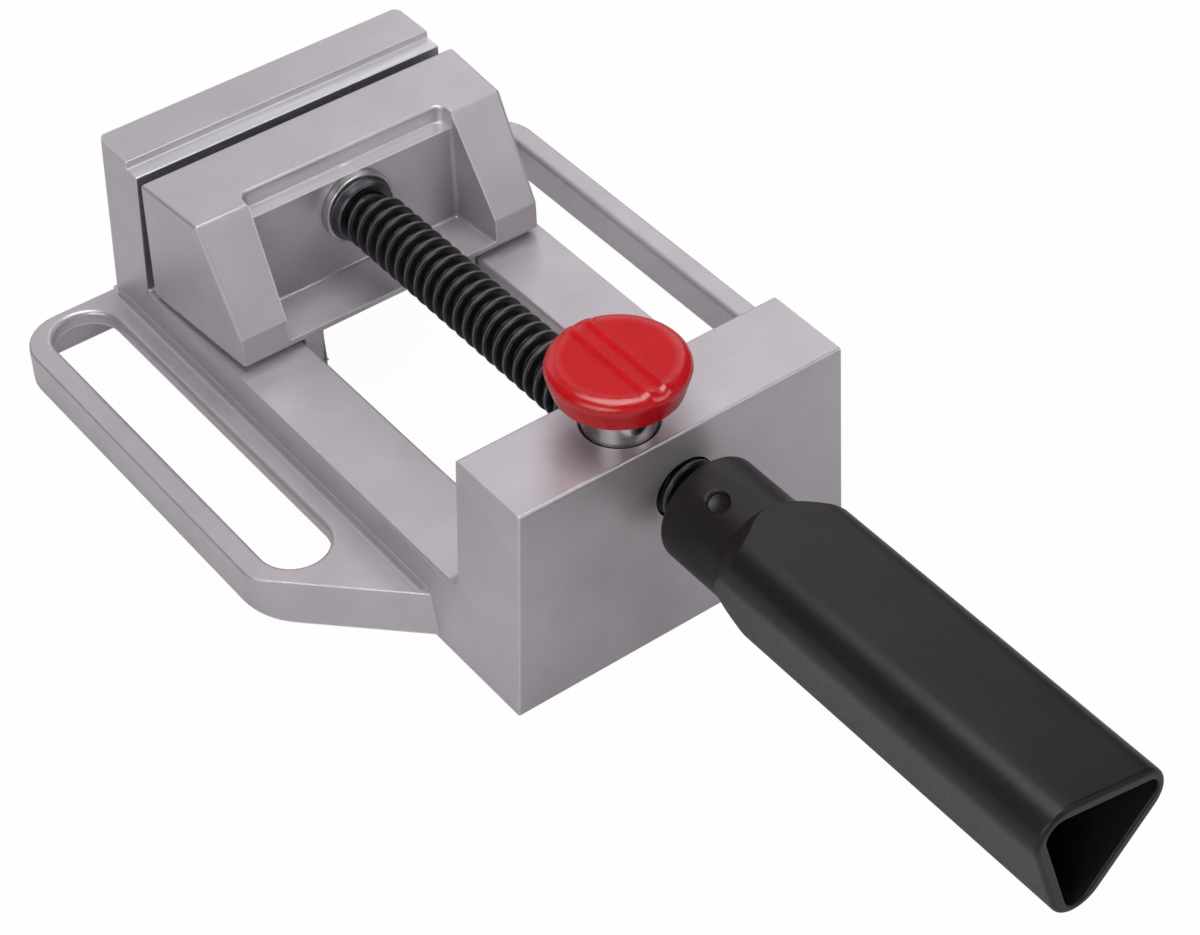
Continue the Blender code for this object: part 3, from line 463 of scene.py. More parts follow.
def flare(outline_at, high, edge):
    """The top of a cutter along Z, which widens in a quarter round and so leaves a soft edge at a height.
    outline_at(offset) gives the cutter's outline drawn that much larger.
    """
    rings = []
    for sine, cosine in quarter_turn():
        rings.append(raised(outline_at(edge * (1 - cosine)), high - edge + edge * sine))
    return rings + [raised(outline_at(edge), high + OVERLAP)]


def flared(outline_at, low, high, edge):
    """A straight cutter along Z with such a top."""
    return loft([raised(outline_at(0), low)] + flare(outline_at, high, edge))


def body_half_width(height):
    return BASE_HALF - (BASE_HALF - JAW_WIDTH / 2) * height / FIXED_JAW_HEIGHT


def casting_body():
    """The base's side view with its fillets, drawn out to both leaning sides, whose edges are softened."""
    outline = rounded_outline([
        ((BASE_HIGH.y, 0), CAST_EDGE), ((BASE_HIGH.y, FIXED_JAW_HEIGHT), CAST_EDGE),
        ((FACE + LEDGE_DEPTH, FIXED_JAW_HEIGHT), CAST_EDGE / 2), ((FACE + LEDGE_DEPTH, LEDGE), CAST_EDGE / 3),
        ((FACE, LEDGE), CAST_EDGE / 2), ((FACE, RAIL_HEIGHT), CAST_EDGE),
        ((BLOCK_REAR, RAIL_HEIGHT), RAIL_FILLET), ((BLOCK_REAR, BLOCK_HEIGHT), CAST_EDGE),
        ((BLOCK_FRONT, BLOCK_HEIGHT), CAST_EDGE), ((BLOCK_FRONT, 0), CAST_EDGE),
    ], EDGE_STEPS)
    points, faces = prism(outline, -1, 1, axis="X")
    body = make_object("base_body", ([(side * body_half_width(z), y, z) for side, y, z in points], faces))

    def weigh(middle, normals):
        if not any(abs(normal.x) > FACING for normal in normals):
            return 0
        if not BLOCK_REAR < middle.y < FACE or middle.z < CAST_EDGE:
            return SIDE_EDGE
        rise = min(max((middle.z - RAIL_HEIGHT) / RAIL_FILLET, 0), 1)
        return RAIL_EDGE + (SIDE_EDGE - RAIL_EDGE) * rise

    return soften(body, weigh, RAIL_EDGE)


def rear_corner(side):
    """What is cut off an upright rear corner of the fixed jaw, above the ear, to round it."""
    rear, radius = BASE_HIGH.y + HAIR, FIXED_JAW_CORNER
    rings = []
    for height in (EAR_TOP + SLIVER, FIXED_JAW_HEIGHT + OVERLAP):
        wide = body_half_width(height) + HAIR
        outline = [(wide + OVERLAP, rear + OVERLAP), (wide + OVERLAP, rear - radius)]
        outline += arc((wide - radius, rear - radius), radius, 0, math.pi / 2)
        outline.append((wide - radius, rear + OVERLAP))
        rings.append(raised(outline, height, side))
    return loft(rings)


def ear_outline(draft, radius):
    """The right ear's plan. Its front taper stands a draft further forward and meets the side in a radius."""
    foot = body_half_width(EAR_TOP)
    inside = (RAIL_INNER + KEEPER_RECESS + foot) / 2
    side_end = EAR_REAR - EAR_SIDE_LENGTH - draft
    taper_end = side_end - EAR_TAPER_LENGTH
    slope = EAR_TAPER_LENGTH / (EAR_REACH - foot)
    return rounded_outline([
        ((inside, EAR_REAR), 0), ((inside, taper_end - (foot - inside) * slope), 0),
        ((EAR_REACH, side_end), radius), ((EAR_REACH, EAR_REAR), EAR_REAR_RADIUS),
    ])


def ear_body(side):
    """One ear, whose front taper leans back, with a soft outer edge and a crisper one along the taper."""
    levels = ((EAR_FOOT_CLEARANCE, EAR_FRONT_DRAFT, EAR_FOOT_RADIUS), (EAR_TOP, 0, EAR_FRONT_RADIUS))
    rings = [raised(ear_outline(draft, radius), height, side) for height, draft, radius in levels]
    ear = make_object("ear", loft(rings))
    foot = body_half_width(EAR_TOP)

    def weigh(middle, normals):
        if abs(middle.x) < foot or not any(abs(normal.z) > FACING for normal in normals):
            return 0
        if middle.z < EAR_TOP / 2:
            return EAR_TAPER_EDGE
        tapered = max(-normal.y for normal in normals)
        return EAR_EDGE + (EAR_TAPER_EDGE - EAR_EDGE) * min(max(tapered / TAPER_FACING, 0), 1)

    return soften(ear, weigh, EAR_EDGE)


def slot_outline(side):
    """The slot's outline as a function of how much larger it is drawn."""
    def outline_at(offset):
        radius = SLOT_WIDTH / 2 + offset
        ends = arc((SLOT_OFFSET, SLOT_REAR), radius, 0, math.pi, SLOT_STEPS)
        ends += arc((SLOT_OFFSET, SLOT_FRONT), radius, math.pi, math.tau, SLOT_STEPS)
        return ends if side > 0 else mirrored(ends)

    return outline_at


def bed_outline(offset):
    """The opening between the rails, drawn that much larger."""
    low, high = BLOCK_REAR + BED_WEB - offset, FACE - BED_WEB + offset
    half = RAIL_INNER + offset
    corner = BED_CORNER + offset
    places = ((-half, low), (half, low), (half, high), (-half, high))
    return rounded_outline([(place, corner) for place in places])


def foot_fillet(side):
    """The small hollow fillet where an ear's top meets the casting's side. It ends along the ear's taper."""
    foot = body_half_width(EAR_TOP)
    centre = (foot + FOOT_FILLET, EAR_TOP + FOOT_FILLET)
    section = arc(centre, FOOT_FILLET, math.pi, 1.5 * math.pi) + [(foot - OVERLAP, EAR_TOP - OVERLAP / 2)]
    section.append((foot - OVERLAP, EAR_TOP + FOOT_FILLET))
    front = EAR_REAR - EAR_SIDE_LENGTH - EAR_TAPER_LENGTH + EAR_TAPER_EDGE
    slope = EAR_TAPER_LENGTH / (EAR_REACH - foot)
    points, faces = prism(section, front, BASE_HIGH.y - EAR_EDGE)
    slanted = [(x, y + max(x - foot, 0) * slope if y == front else y, z) for x, z, y in points]
    return [(side * x, y, z) for x, y, z in slanted], faces


def build_base(looks):
    base = casting_body()
    hollow_front, hollow_rear = SLOT_FRONT - SLOT_WIDTH / 3, EAR_REAR - HOLLOW_REAR_WALL
    hollow_outer = SLOT_OFFSET + SLOT_WIDTH / 2 - HOLLOW_STEP
    for side in (1, -1):
        join(base, ear_body(side))
        join(base, foot_fillet(side))
        cut(base, flared(slot_outline(side), -OVERLAP, EAR_TOP, SLOT_EDGE))
        left, right = sorted((side * (BASE_HALF + TOUCH), side * hollow_outer))
        cut(base, block((left, hollow_front, -OVERLAP), (right, hollow_rear, EAR_TOP - EAR_PLATE)))
        cut(base, rear_corner(side))
    cut(base, flared(bed_outline, -OVERLAP, RAIL_HEIGHT, CAST_EDGE))
    recess, front, rear = RAIL_INNER + KEEPER_RECESS, BLOCK_REAR + BED_WEB, FACE - BED_WEB
    cut(base, block((-recess, front, -OVERLAP), (recess, rear, RAIL_HEIGHT - RAIL_LIP)))
    bore = SCREW_RADIUS + TOUCH
    cut(base, turned([(bore, BLOCK_FRONT - OVERLAP), (bore, BLOCK_REAR + OVERLAP)], SCREW_AXIS, axis="Y"))
    collar, collar_seat = COLLAR_HIGH.x - RELEASE_X + TOUCH, COLLAR_LOW.z - COLLAR_ROOM
    plug, plug_end = PLUG_HIGH.x - RELEASE_X + TOUCH, PLUG_HIGH.z + PLUG_HIGH.x - PLUG_LOW.x
    cut(base, turned([
        (plug, -OVERLAP), (plug, plug_end), (SPIGOT_RADIUS, PLUG_HIGH.z + RAIL_HEIGHT),
        (SPIGOT_RADIUS, collar_seat), (collar, collar_seat), (collar, BLOCK_HEIGHT - BORE_EDGE),
        (collar + BORE_EDGE + OVERLAP, BLOCK_HEIGHT + OVERLAP)], RELEASE_AXIS))
    present(base, "base_casting", "base", "cast_aluminium", looks)
    paint_faces(base, looks["milled_ledge"], lambda middle, normal: FACE < middle.y < FACE + LEDGE_DEPTH
                and abs(middle.z - LEDGE) < CAST_EDGE / 2 and normal.z > LEDGE_FACING)
    # The fixed jaw's face below the ledge is painted dark: painted shade for the narrow gap between the jaws.
    paint_faces(base, looks["milled_face"], lambda middle, normal: abs(middle.y - FACE) < TOUCH
                and RAIL_HEIGHT < middle.z < LEDGE and normal.y < -FACING)


def moving_half_width(along, height):
    share = (JAW_HIGH.y - along) / (JAW_HIGH.y - JAW_LOW.y)
    half = (MOVING_REAR_WIDTH + (MOVING_FRONT_WIDTH - MOVING_REAR_WIDTH) * share) / 2
    return half + MOVING_LEAN * (JAW_HIGH.z - height) / MOVING_HEIGHT


def jaw_outline(inset):
    """The jaw's side view, drawn that much smaller, with rounded corners."""
    low, high, foot = JAW_LOW.y + inset, JAW_HIGH.y - inset, FOOT_TOP + inset
    slope = Vector((POCKET_BACK - JAW_LOW.y, JAW_HIGH.z - MOVING_BOTTOM - LIP_HEIGHT)).normalized()
    top, shoulder = JAW_HIGH.z - inset, POCKET_BACK + inset * (1 - slope.x) / slope.y
    lip = MOVING_BOTTOM + LIP_HEIGHT - inset * (1 - slope.y) / slope.x
    corner = max(JAW_EDGE - inset, SLIVER)
    places = ((high, foot), (high, top), (shoulder, top), (low, lip), (low, foot))
    return rounded_outline([(place, corner) for place in places], EDGE_STEPS)


def jaw_body():
    """The jaw's side view drawn out to both sides, which close in towards the front, with rounded edges."""
    insets = [(JAW_EDGE * (1 - sine), JAW_EDGE * (1 - cosine)) for sine, cosine in quarter_turn()]
    rings = []
    for side, steps in ((-1, insets), (1, insets[::-1])):
        for inset, short in steps:
            rings.append([(side * (moving_half_width(y, z) - short), y, z) for y, z in jaw_outline(inset)])
    return make_object("jaw_body", loft(rings))


def pocket_half_width(along):
    return POCKET_WIDTH / 2 + POCKET_FLARE * (POCKET_BACK - along)


def pocket_outline(rear, corner):
    """The pocket's plan, open towards the front, as a function of how much larger it is drawn."""
    beyond = JAW_LOW.y - OVERLAP

    def outline_at(offset):
        front, back = pocket_half_width(beyond) + offset, pocket_half_width(rear) + offset
        end, radius = rear + offset, corner + offset
        return rounded_outline([((-front, beyond), 0), ((front, beyond), 0),
                                ((back, end), radius), ((-back, end), radius)])

    return outline_at


def pocket_cutter(rear, bottom, corner, fillet, edge):
    """A cutter for the pocket that leaves a fillet round its floor and a soft edge round the jaw's top."""
    outline_at = pocket_outline(rear, corner)
    rings = []
    for sine, cosine in quarter_turn():
        rings.append(raised(outline_at(fillet * (sine - 1)), bottom + fillet - fillet * cosine))
    return loft(rings + flare(outline_at, JAW_HIGH.z, edge))


def build_jaw(looks):
    jaw = jaw_body()
    rear, front = JAW_HIGH.y - TOUCH, JAW_LOW.y + FOOT_INSET
    foot = [(moving_half_width(y, MOVING_BOTTOM) - FOOT_INSET, y) for y in (rear, front)]
    foot += mirrored(foot)[::-1]
    join(jaw, prism(foot, MOVING_BOTTOM, FOOT_TOP + OVERLAP))
    rib_outer = RAIL_INNER - SLIDE
    for side in (1, -1):
        left, right = sorted((side * (rib_outer - RIB_WIDTH), side * rib_outer))
        low, high = (left, KEEPER_LOW.y, KEEPER_HIGH.z + TOUCH), (right, KEEPER_HIGH.y, FOOT_TOP)
        rib = make_object("rib", block(low, high))
        join(jaw, soften(rib, lambda middle, normals: SIDE_EDGE, SIDE_EDGE))
    floor, ledge = MOVING_BOTTOM + POCKET_FLOOR, JAW_HIGH.z - POCKET_STEP_DROP
    cut(jaw, pocket_cutter(POCKET_BACK, floor, POCKET_CORNER, POCKET_FILLET, POCKET_EDGE))
    cut(jaw, pocket_cutter(POCKET_BACK + POCKET_STEP_DEPTH, ledge, STEP_CORNER, STEP_FILLET, STEP_EDGE))

    def weigh(middle, normals):
        up = max(normal.z for normal in normals)
        ahead = max(-normal.y for normal in normals)
        inward = max(-normal.x * math.copysign(1, middle.x) for normal in normals)
        smooth = normals[0].dot(normals[1]) > SMOOTH_JOINT
        beside = abs(middle.x) > pocket_half_width(middle.y) + STEP_EDGE
        if smooth or beside or middle.z < FOOT_TOP:
            return 0
        if inward > FACING and ahead > HALF_FACING:
            return FLANGE_EDGE
        if up > SQUARELY_FACING and ahead > SQUARELY_FACING:
            return LEDGE_EDGE
        return 0

    soften(jaw, weigh, FLANGE_EDGE, clamped=False)
    seat, journal, seat_end = BUSH_SEAT_RADIUS + TOUCH, JOURNAL_RADIUS + TOUCH, BUSH_HIGH.y + TOUCH
    bore = [(seat, POCKET_BACK - OVERLAP), (seat, seat_end), (journal, seat_end), (journal, SCREW_HIGH.y)]
    cut(jaw, turned(bore, SCREW_AXIS, axis="Y"))
    present(jaw, "movable_jaw", "jaw", "cast_aluminium", looks)
    step = POCKET_BACK + POCKET_STEP_DEPTH
    paint_faces(jaw, looks["milled_ledge"], lambda middle, normal: POCKET_BACK < middle.y < step
                and abs(middle.z - ledge) < TOUCH and normal.z > FACING)


def thread_profile():
    """One pitch of the thread, with a crowned crest, as (share of its height, place along it) pairs."""
    half_crest, half_root = THREAD_CREST / 2, THREAD_CREST / 2 + THREAD_FLANK
    middle = THREAD_PITCH / 2
    rise, edge = THREAD_ROUND / THREAD_DEPTH, 1 - THREAD_CROWN
    half = [(rise * h, -half_root + THREAD_ROUND * y) for h, y in THREAD_ROOT_ROUND]
    half += [(edge - rise * h, -half_crest + THREAD_ROUND * y) for h, y in THREAD_CREST_ROUND]
    return [(h, middle + y) for h, y in half] + [(1.0, middle)] + [(h, middle - y) for h, y in reversed(half)]


def build_screw(looks):
    """A right-hand thread as a helical skin: each column of points is the shaft's profile at one angle."""
    stop = BUSH_LOW.y - TOUCH
    turns = int((stop - NECK_REAR - TOUCH) / THREAD_PITCH) - 1
    start = stop - THREAD_PITCH * (turns + 1)
    ridge = thread_profile()
    neck = NECK_REAR + TOUCH
    front = [(TAIL_RADIUS, TAIL_END), (TAIL_RADIUS, neck), (THREAD_ROOT, neck)]
    rear = [(THREAD_ROOT, stop - TOUCH), (JOURNAL_RADIUS, stop), (JOURNAL_RADIUS, SCREW_HIGH.y)]
    columns = []
    for step in range(THREAD_SIDES):
        angle = math.tau * (step / THREAD_SIDES + THREAD_PHASE)
        profile = list(front)
        for turn in range(turns):
            travelled = turn + step / THREAD_SIDES
            fade = min(travelled, turns - travelled, THREAD_RUN_OUT) / THREAD_RUN_OUT
            shift, depth = start + THREAD_PITCH * travelled, THREAD_DEPTH * fade
            profile += [(THREAD_ROOT + depth * height, shift + along) for height, along in ridge]
        profile += rear
        across, up = math.sin(angle), math.cos(angle)
        columns.append([(radius * across, y, SCREW_HEIGHT + radius * up) for radius, y in profile])
    screw = make_object("screw", helical_skin(columns, len(front), len(rear), len(ridge)))
    present(screw, "lead_screw", "screw", "black_oxide", looks, sharp=50)


def helical_skin(columns, front, rear, ridge):
    """Joins columns, the last to the first one turn further on. front and rear points close the two ends."""
    length, sides = len(columns[0]), len(columns)
    points = [point for column in columns for point in column]
    last, here = length - rear, (sides - 1) * length
    starts = [step * length for step in range(sides)]
    faces = [tuple(starts), tuple(start + length - 1 for start in starts)]
    for base, over in zip(starts, starts[1:]):
        faces += [(base + i, base + i + 1, over + i + 1, over + i) for i in range(length - 1)]
    faces += [(here + i, here + i + 1, i + 1, i) for i in [*range(front - 1), *range(last, length - 1)]]
    faces += [(here + i, here + i + 1, i + ridge + 1, i + ridge) for i in range(front, last - ridge - 1)]
    faces.append(tuple(front + i for i in range(ridge)))
    faces.append((here + front - 1, front - 1, front, front + ridge - 1, front + ridge, here + front))
    tail = here + last - ridge
    faces.append(tuple(tail + i for i in range(ridge)))
    faces.append((tail - 1, tail, tail + ridge - 1, here + last, last, last - 1))
    return points, faces


def build_bush(looks):
    """The steel bush in the jaw's pocket: a thin flange, and a short hub that tapers to the screw."""
    outer, inner, tip = BUSH_HIGH.x, JOURNAL_RADIUS + TOUCH, BUSH_LOW.y
    face, base = POCKET_BACK - BUSH_STAND_OUT, BUSH_HUB_BASE - BUSH_FILLET
    seat, rest = BUSH_SEAT_RADIUS, POCKET_BACK - TOUCH
    profile = [(seat, BUSH_HIGH.y), (seat, rest), (outer, rest)]
    for sine, cosine in quarter_turn():
        profile.append((outer - BUSH_RIM * (1 - cosine), face + BUSH_RIM * (1 - sine)))
    for sine, cosine in quarter_turn():
        profile.append((base + BUSH_FILLET * (1 - sine), face - BUSH_FILLET * (1 - cosine)))
    profile += [(BUSH_HUB_TIP, tip + BUSH_RIM), (BUSH_HUB_TIP - BUSH_RIM, tip)]
    profile += [(inner, tip), (inner, BUSH_HIGH.y)]
    bush = make_object("bush", turned(profile, SCREW_AXIS, axis="Y", closed=True))
    present(bush, "screw_bush", "jaw", "zinc_steel", looks)
    paint_faces(bush, looks["dark_steel"], lambda middle, normal: middle.y < face)


def grip_outline(flat, corner):
    """The grip's section round its axis: three flats at one distance, joined by corner arcs."""
    outline = []
    to_corner = (flat - corner) * 2
    for index in range(3):
        middle = math.pi / 2 + math.radians(60) - GRIP_TURN + index * math.tau / 3
        centre = (to_corner * math.cos(middle), to_corner * math.sin(middle))
        outline += arc(centre, corner, middle - math.pi / 3, middle + math.pi / 3, GRIP_CORNER_STEPS)
        following = middle + math.tau / 3
        end = Vector(outline[-1])
        start = Vector((to_corner * math.cos(following), to_corner * math.sin(following)))
        start += corner * Vector((math.cos(following - math.pi / 3), math.sin(following - math.pi / 3)))
        outline += [tuple(end.lerp(start, step / GRIP_FLAT_STEPS)) for step in range(1, GRIP_FLAT_STEPS)]
    return outline


def handle_ring(outline, along):
    """A section of the handle at a place along the screw's axis."""
    return [(x, along, SCREW_HEIGHT + z) for x, z in outline]


def build_handle(looks):
    """A round neck and a hollow three-sided grip, whose corners are cut back to the neck by a cone."""
    outside = grip_outline(GRIP_FLAT, GRIP_CORNER)
    inside = grip_outline(GRIP_FLAT - GRIP_WALL, GRIP_HOLLOW_CORNER)
    rounds = quarter_turn(MOUTH_STEPS)
    end, shoulder = HANDLE_LOW.y, SHOULDER_START + OVERLAP
    rings = [handle_ring(outside, shoulder)]
    for sine, cosine in rounds:
        inset = MOUTH_EDGE * (1 - cosine)
        lip = grip_outline(GRIP_FLAT - inset, GRIP_CORNER - inset)
        rings.append(handle_ring(lip, end + MOUTH_EDGE * (1 - sine)))
    handle = make_object("handle", loft(rings))
    tip = (GRIP_FLAT - GRIP_CORNER) * 2 + GRIP_CORNER
    spread = (tip - NECK_RADIUS) / SHOULDER_LENGTH
    reach = shoulder - end
    wide = NECK_RADIUS + reach * spread
    cone = [(NECK_RADIUS - OVERLAP * spread, shoulder), (wide, SHOULDER_START - reach), (wide, end - OVERLAP)]
    combine(handle, "INTERSECT", turned(cone, SCREW_AXIS, axis="Y"))
    neck = []
    for sine, cosine in rounds:
        neck.append((NECK_RADIUS - NECK_EDGE * (1 - sine), NECK_REAR - NECK_EDGE * (1 - cosine)))
    pin = NECK_REAR - PIN_INSET
    neck += [(NECK_RADIUS, pin + PIN_ZONE), (NECK_RADIUS, pin - PIN_ZONE), (NECK_RADIUS, SHOULDER_START)]
    neck.append((GRIP_FLAT - NECK_SINK, SHOULDER_START - NECK_FADE))
    join(handle, turned(neck, SCREW_AXIS, axis="Y", sides=NECK_SIDES))
    tail = TAIL_RADIUS + TOUCH
    cut(handle, turned([(tail, NECK_REAR + OVERLAP), (tail, TAIL_END - TOUCH)], SCREW_AXIS, axis="Y"))
    rings = [handle_ring(inside, TAIL_END - TOUCH - GRIP_ROOF)]
    for sine, cosine in reversed(rounds):
        wall = GRIP_WALL - MOUTH_EDGE / 2 * (1 - sine)
        lip = grip_outline(GRIP_FLAT - wall, GRIP_HOLLOW_CORNER + GRIP_WALL - wall)
        rings.append(handle_ring(lip, end + MOUTH_EDGE / 2 * (1 - cosine)))
    rings.append(handle_ring(lip, end - OVERLAP))
    cut(handle, loft(rings))
    cut(handle, pin_hole())
    present(handle, "handle", "screw", "black_plastic", looks, sharp=28)


def pin_hole():
    """The hole for the pin across the neck, with a soft rim at both of its mouths."""
    radius, reach = PIN_RADIUS + PIN_GAP, NECK_RADIUS
    mouth = []
    for sine, cosine in quarter_turn(PIN_RIM_STEPS):
        mouth.append((radius + PIN_RIM * (1 - cosine), reach - PIN_RIM + PIN_RIM * sine))
    return across_neck(mouth + [(radius + PIN_RIM, reach + OVERLAP)])


def across_neck(half):
    """A turned solid, alike at both ends, whose axis crosses the handle's neck, tipped from upright."""
    profile = [(radius, -along) for radius, along in reversed(half)] + half
    points, faces = turned(profile, (0, 0), sides=PIN_SIDES)
    place = Matrix.Translation((0, NECK_REAR - PIN_INSET, SCREW_HEIGHT))
    place = place @ Matrix.Rotation(PIN_TURN, 4, "Y")
    return [place @ Vector(point) for point in points], faces


def build_handle_pin(looks):
    """The pin across the neck, with dished ends."""
    reach = NECK_RADIUS - PIN_RECESS
    end = []
    for step, (sine, _) in enumerate(quarter_turn()[:-1]):
        end.append((PIN_RADIUS * (1 - step / ARC_STEPS), reach - PIN_DISH * sine))
    pin = make_object("pin", across_neck(end))
    present(pin, "handle_pin", "screw", "black_oxide", looks, sharp=60)


def build_button(looks):
    """The red button: a nearly upright skirt, a rounded rim, and two soft ribs right across its top."""
    top, foot = BUTTON_HIGH.z - BUTTON_RIB_HEIGHT, BUTTON_LOW.z
    spigot, socket = SPIGOT_RADIUS + TOUCH, COLLAR_HIGH.x - RELEASE_X + TOUCH
    seat, low = COLLAR_HIGH.z + TOUCH, BUTTON_FOOT_ROUND
    profile = [(spigot, foot + BUTTON_SOCKET_DEPTH), (spigot, seat), (socket, seat), (socket, foot),
               (BUTTON_FOOT_RADIUS - low, foot), (BUTTON_FOOT_RADIUS, foot + low)]
    rise = top - foot - BUTTON_RIM_HEIGHT
    lifts = [0.0] * len(profile)
    for sine, cosine in quarter_turn(BUTTON_RINGS):
        profile.append((BUTTON_INNER + BUTTON_RIM_ROUND * cosine, foot + BUTTON_RIM_HEIGHT + rise * sine))
        lifts.append(sine ** 2)
    rings = []
    for (radius, height), lift in zip(profile, lifts):
        circle = ring(radius, height, RELEASE_AXIS, "Z", BUTTON_SIDES)
        rings.append([(x, y, z + lift * rib_height(x - RELEASE_X)) for x, y, z in circle])
    points, faces = loft(rings)
    # The loft's own upper cap is a single face, which can't follow the ribs.
    faces.pop(1)
    cover_ring(points, faces, rings[-1])
    button = make_object("button", (points, faces))
    present(button, "release_button", "release", "red_plastic", looks, sharp=50)


def cover_ring(points, faces, edge):
    """Closes the last ring of points with rows of faces that run along the button's ribs."""
    sides, start = len(edge), len(points) - len(edge)
    columns = []
    for step in range(-sides // 4, sides // 4 + 1):
        first, last = step % sides, (sides // 2 - step) % sides
        column = [start + first]
        for row in range(1, BUTTON_ROWS):
            if first != last:
                column.append(len(points))
                points.append(tuple(Vector(edge[first]).lerp(Vector(edge[last]), row / BUTTON_ROWS)))
            else:
                column.append(start + first)
        columns.append(column + [start + last])
    for here, there in zip(columns, columns[1:]):
        for row in range(BUTTON_ROWS):
            corners = (here[row], there[row], there[row + 1], here[row + 1])
            faces.append(tuple(dict.fromkeys(corners)))


def rib_height(across):
    """How far the button's two ribs rise at a distance from its middle line."""
    off = abs(abs(across) - BUTTON_RIB_SPACING / 2) / (BUTTON_RIB_WIDTH / 2)
    return BUTTON_RIB_HEIGHT * (0.5 + 0.5 * math.cos(math.pi * off)) if off < 1 else 0.0


def build_collar(looks):
    """The bright stem under the button."""
    outer, inner = COLLAR_HIGH.x - RELEASE_X, SPIGOT_RADIUS + TOUCH
    low, high, edge = COLLAR_LOW.z, COLLAR_HIGH.z, COLLAR_CHAMFER
    profile = [(inner, low), (outer - edge, low), (outer, low + edge), (outer, high - edge),
               (outer - edge, high), (inner, high)]
    collar = make_object("collar", turned(profile, RELEASE_AXIS, closed=True))
    present(collar, "release_collar", "release", "bright_steel", looks)


def build_spring(looks):
    """The spring under the plunger, copied from its CAD node."""
    spring = link_object("spring", frame["nodes"]["release_spring"].data.copy())
    present(spring, "release_spring", "base", "spring_steel", looks, sharp=80)
    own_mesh(spring)


def new_material(name, colour, metallic, roughness, others=None):
    """A material, its node tree and its shader. others holds more of the shader's inputs by name."""
    material = bpy.data.materials.new(name + "_look")
    material.use_nodes = True
    shader = material.node_tree.nodes["Principled BSDF"]
    inputs = {"Base Color": (*colour, 1), "Metallic": metallic, "Roughness": roughness, **(others or {})}
    for socket, value in inputs.items():
        feed(shader.inputs[socket], value)
    return material, material.node_tree, shader


def feed(socket, value):
    """Joins a node's output to an input, or sets the input to a plain value."""
    if isinstance(value, bpy.types.NodeSocket):
        socket.id_data.links.new(value, socket)
    else:
        socket.default_value = value


def add_node(tree, kind, inputs=None, **settings):
    """A shader node with its settings, and with its inputs fed by name or place."""
    node = tree.nodes.new("ShaderNode" + kind)
    for name, value in settings.items():
        setattr(node, name, value)
    for name, value in (inputs or {}).items():
        feed(node.inputs[name], value)
    return node


def object_place(tree):
    return add_node(tree, "TexCoord").outputs["Object"]


def add_noise(tree, scale, detail=3.0, stretch=(1, 1, 1)):
    """Noise in object coordinates, as a value socket. scale is in cells per metre."""
    mapping = add_node(tree, "Mapping", {"Vector": object_place(tree), "Scale": stretch})
    noise = {"Vector": mapping.outputs["Vector"], "Scale": scale, "Detail": detail}
    return add_node(tree, "TexNoise", noise).outputs["Fac"]


def remap(tree, value, low, high, start=0.3, end=0.7):
    """A value spread from start..end to low..high."""
    inputs = {"Value": value, "From Min": start, "From Max": end, "To Min": low, "To Max": high}
    return add_node(tree, "MapRange", inputs).outputs["Result"]


def calculate(tree, operation, first, second):
    """A calculation on a value socket and a number or another socket."""
    return add_node(tree, "Math", {0: first, 1: second}, operation=operation).outputs["Value"]


def blend_colours(tree, factor, first, second):
    """A colour between two, where each is a colour or a colour socket."""
    first, second = ((*each, 1) if isinstance(each, tuple) else each for each in (first, second))
    node = add_node(tree, "Mix", {"Factor": factor, MIX_FIRST: first, MIX_SECOND: second}, data_type="RGBA")
    return node.outputs[MIX_RESULT]


def add_bump(shader, height, strength, distance=0.0002):
    """Relief too fine to model. distance is its depth in metres at full strength."""
    inputs = {"Height": height, "Strength": strength, "Distance": distance}
    bump = add_node(shader.id_data, "Bump", inputs)
    feed(shader.inputs["Normal"], bump.outputs["Normal"])


def edge_mask(tree):
    """How near a point is to an edge, from the difference between a rounded and a true normal."""
    bevel = add_node(tree, "Bevel", {"Radius": HIGHLIGHT_AND_WEAR_RADIUS}, samples=HIGHLIGHT_AND_WEAR_SAMPLES)
    normals = {0: bevel.outputs["Normal"], 1: add_node(tree, "NewGeometry").outputs["Normal"]}
    agreement = add_node(tree, "VectorMath", normals, operation="DOT_PRODUCT").outputs["Value"]
    return remap(tree, agreement, 1.0, 0.0, *HIGHLIGHT_AND_WEAR_FADE)


def axis_distance(tree, across, centre):
    """A point's distance from a line through centre. across is 1 for the two axes square to the line."""
    terms = {0: object_place(tree), 1: across, 2: [-place for place in centre]}
    offset = add_node(tree, "VectorMath", terms, operation="MULTIPLY_ADD").outputs["Vector"]
    return add_node(tree, "VectorMath", {0: offset}, operation="LENGTH").outputs["Value"]


def drift(tree, noise, dark, light):
    """A colour that follows a noise from dark to light."""
    return blend_colours(tree, remap(tree, noise, 0, 1), dark, light)


def paint(shader, colour):
    feed(shader.inputs["Base Color"], colour)


def roughen(shader, scale, smooth, rough):
    """Roughness that wanders between two values, with so many cells per metre."""
    tree = shader.id_data
    feed(shader.inputs["Roughness"], remap(tree, add_noise(tree, scale), smooth, rough))


def cast_aluminium():
    """Satin die-cast aluminium: fine blasted grain, faint cloudiness, and edges painted brighter, a painted
    highlight that also stands for rubbed wear.
    """
    material, tree, shader = new_material("cast_aluminium", (0.53, 0.49, 0.53), 0.55, 0.36)
    clouds = drift(tree, add_noise(tree, 70, 4), (0.505, 0.467, 0.505), (0.555, 0.515, 0.555))
    # Edges are painted near white: a painted highlight, also standing for rubbed wear.
    paint(shader, blend_colours(tree, edge_mask(tree), clouds, (0.94, 0.91, 0.94)))
    roughen(shader, 600, 0.33, 0.40)
    add_bump(shader, add_noise(tree, 2600), 0.14, 0.0003)
    return material


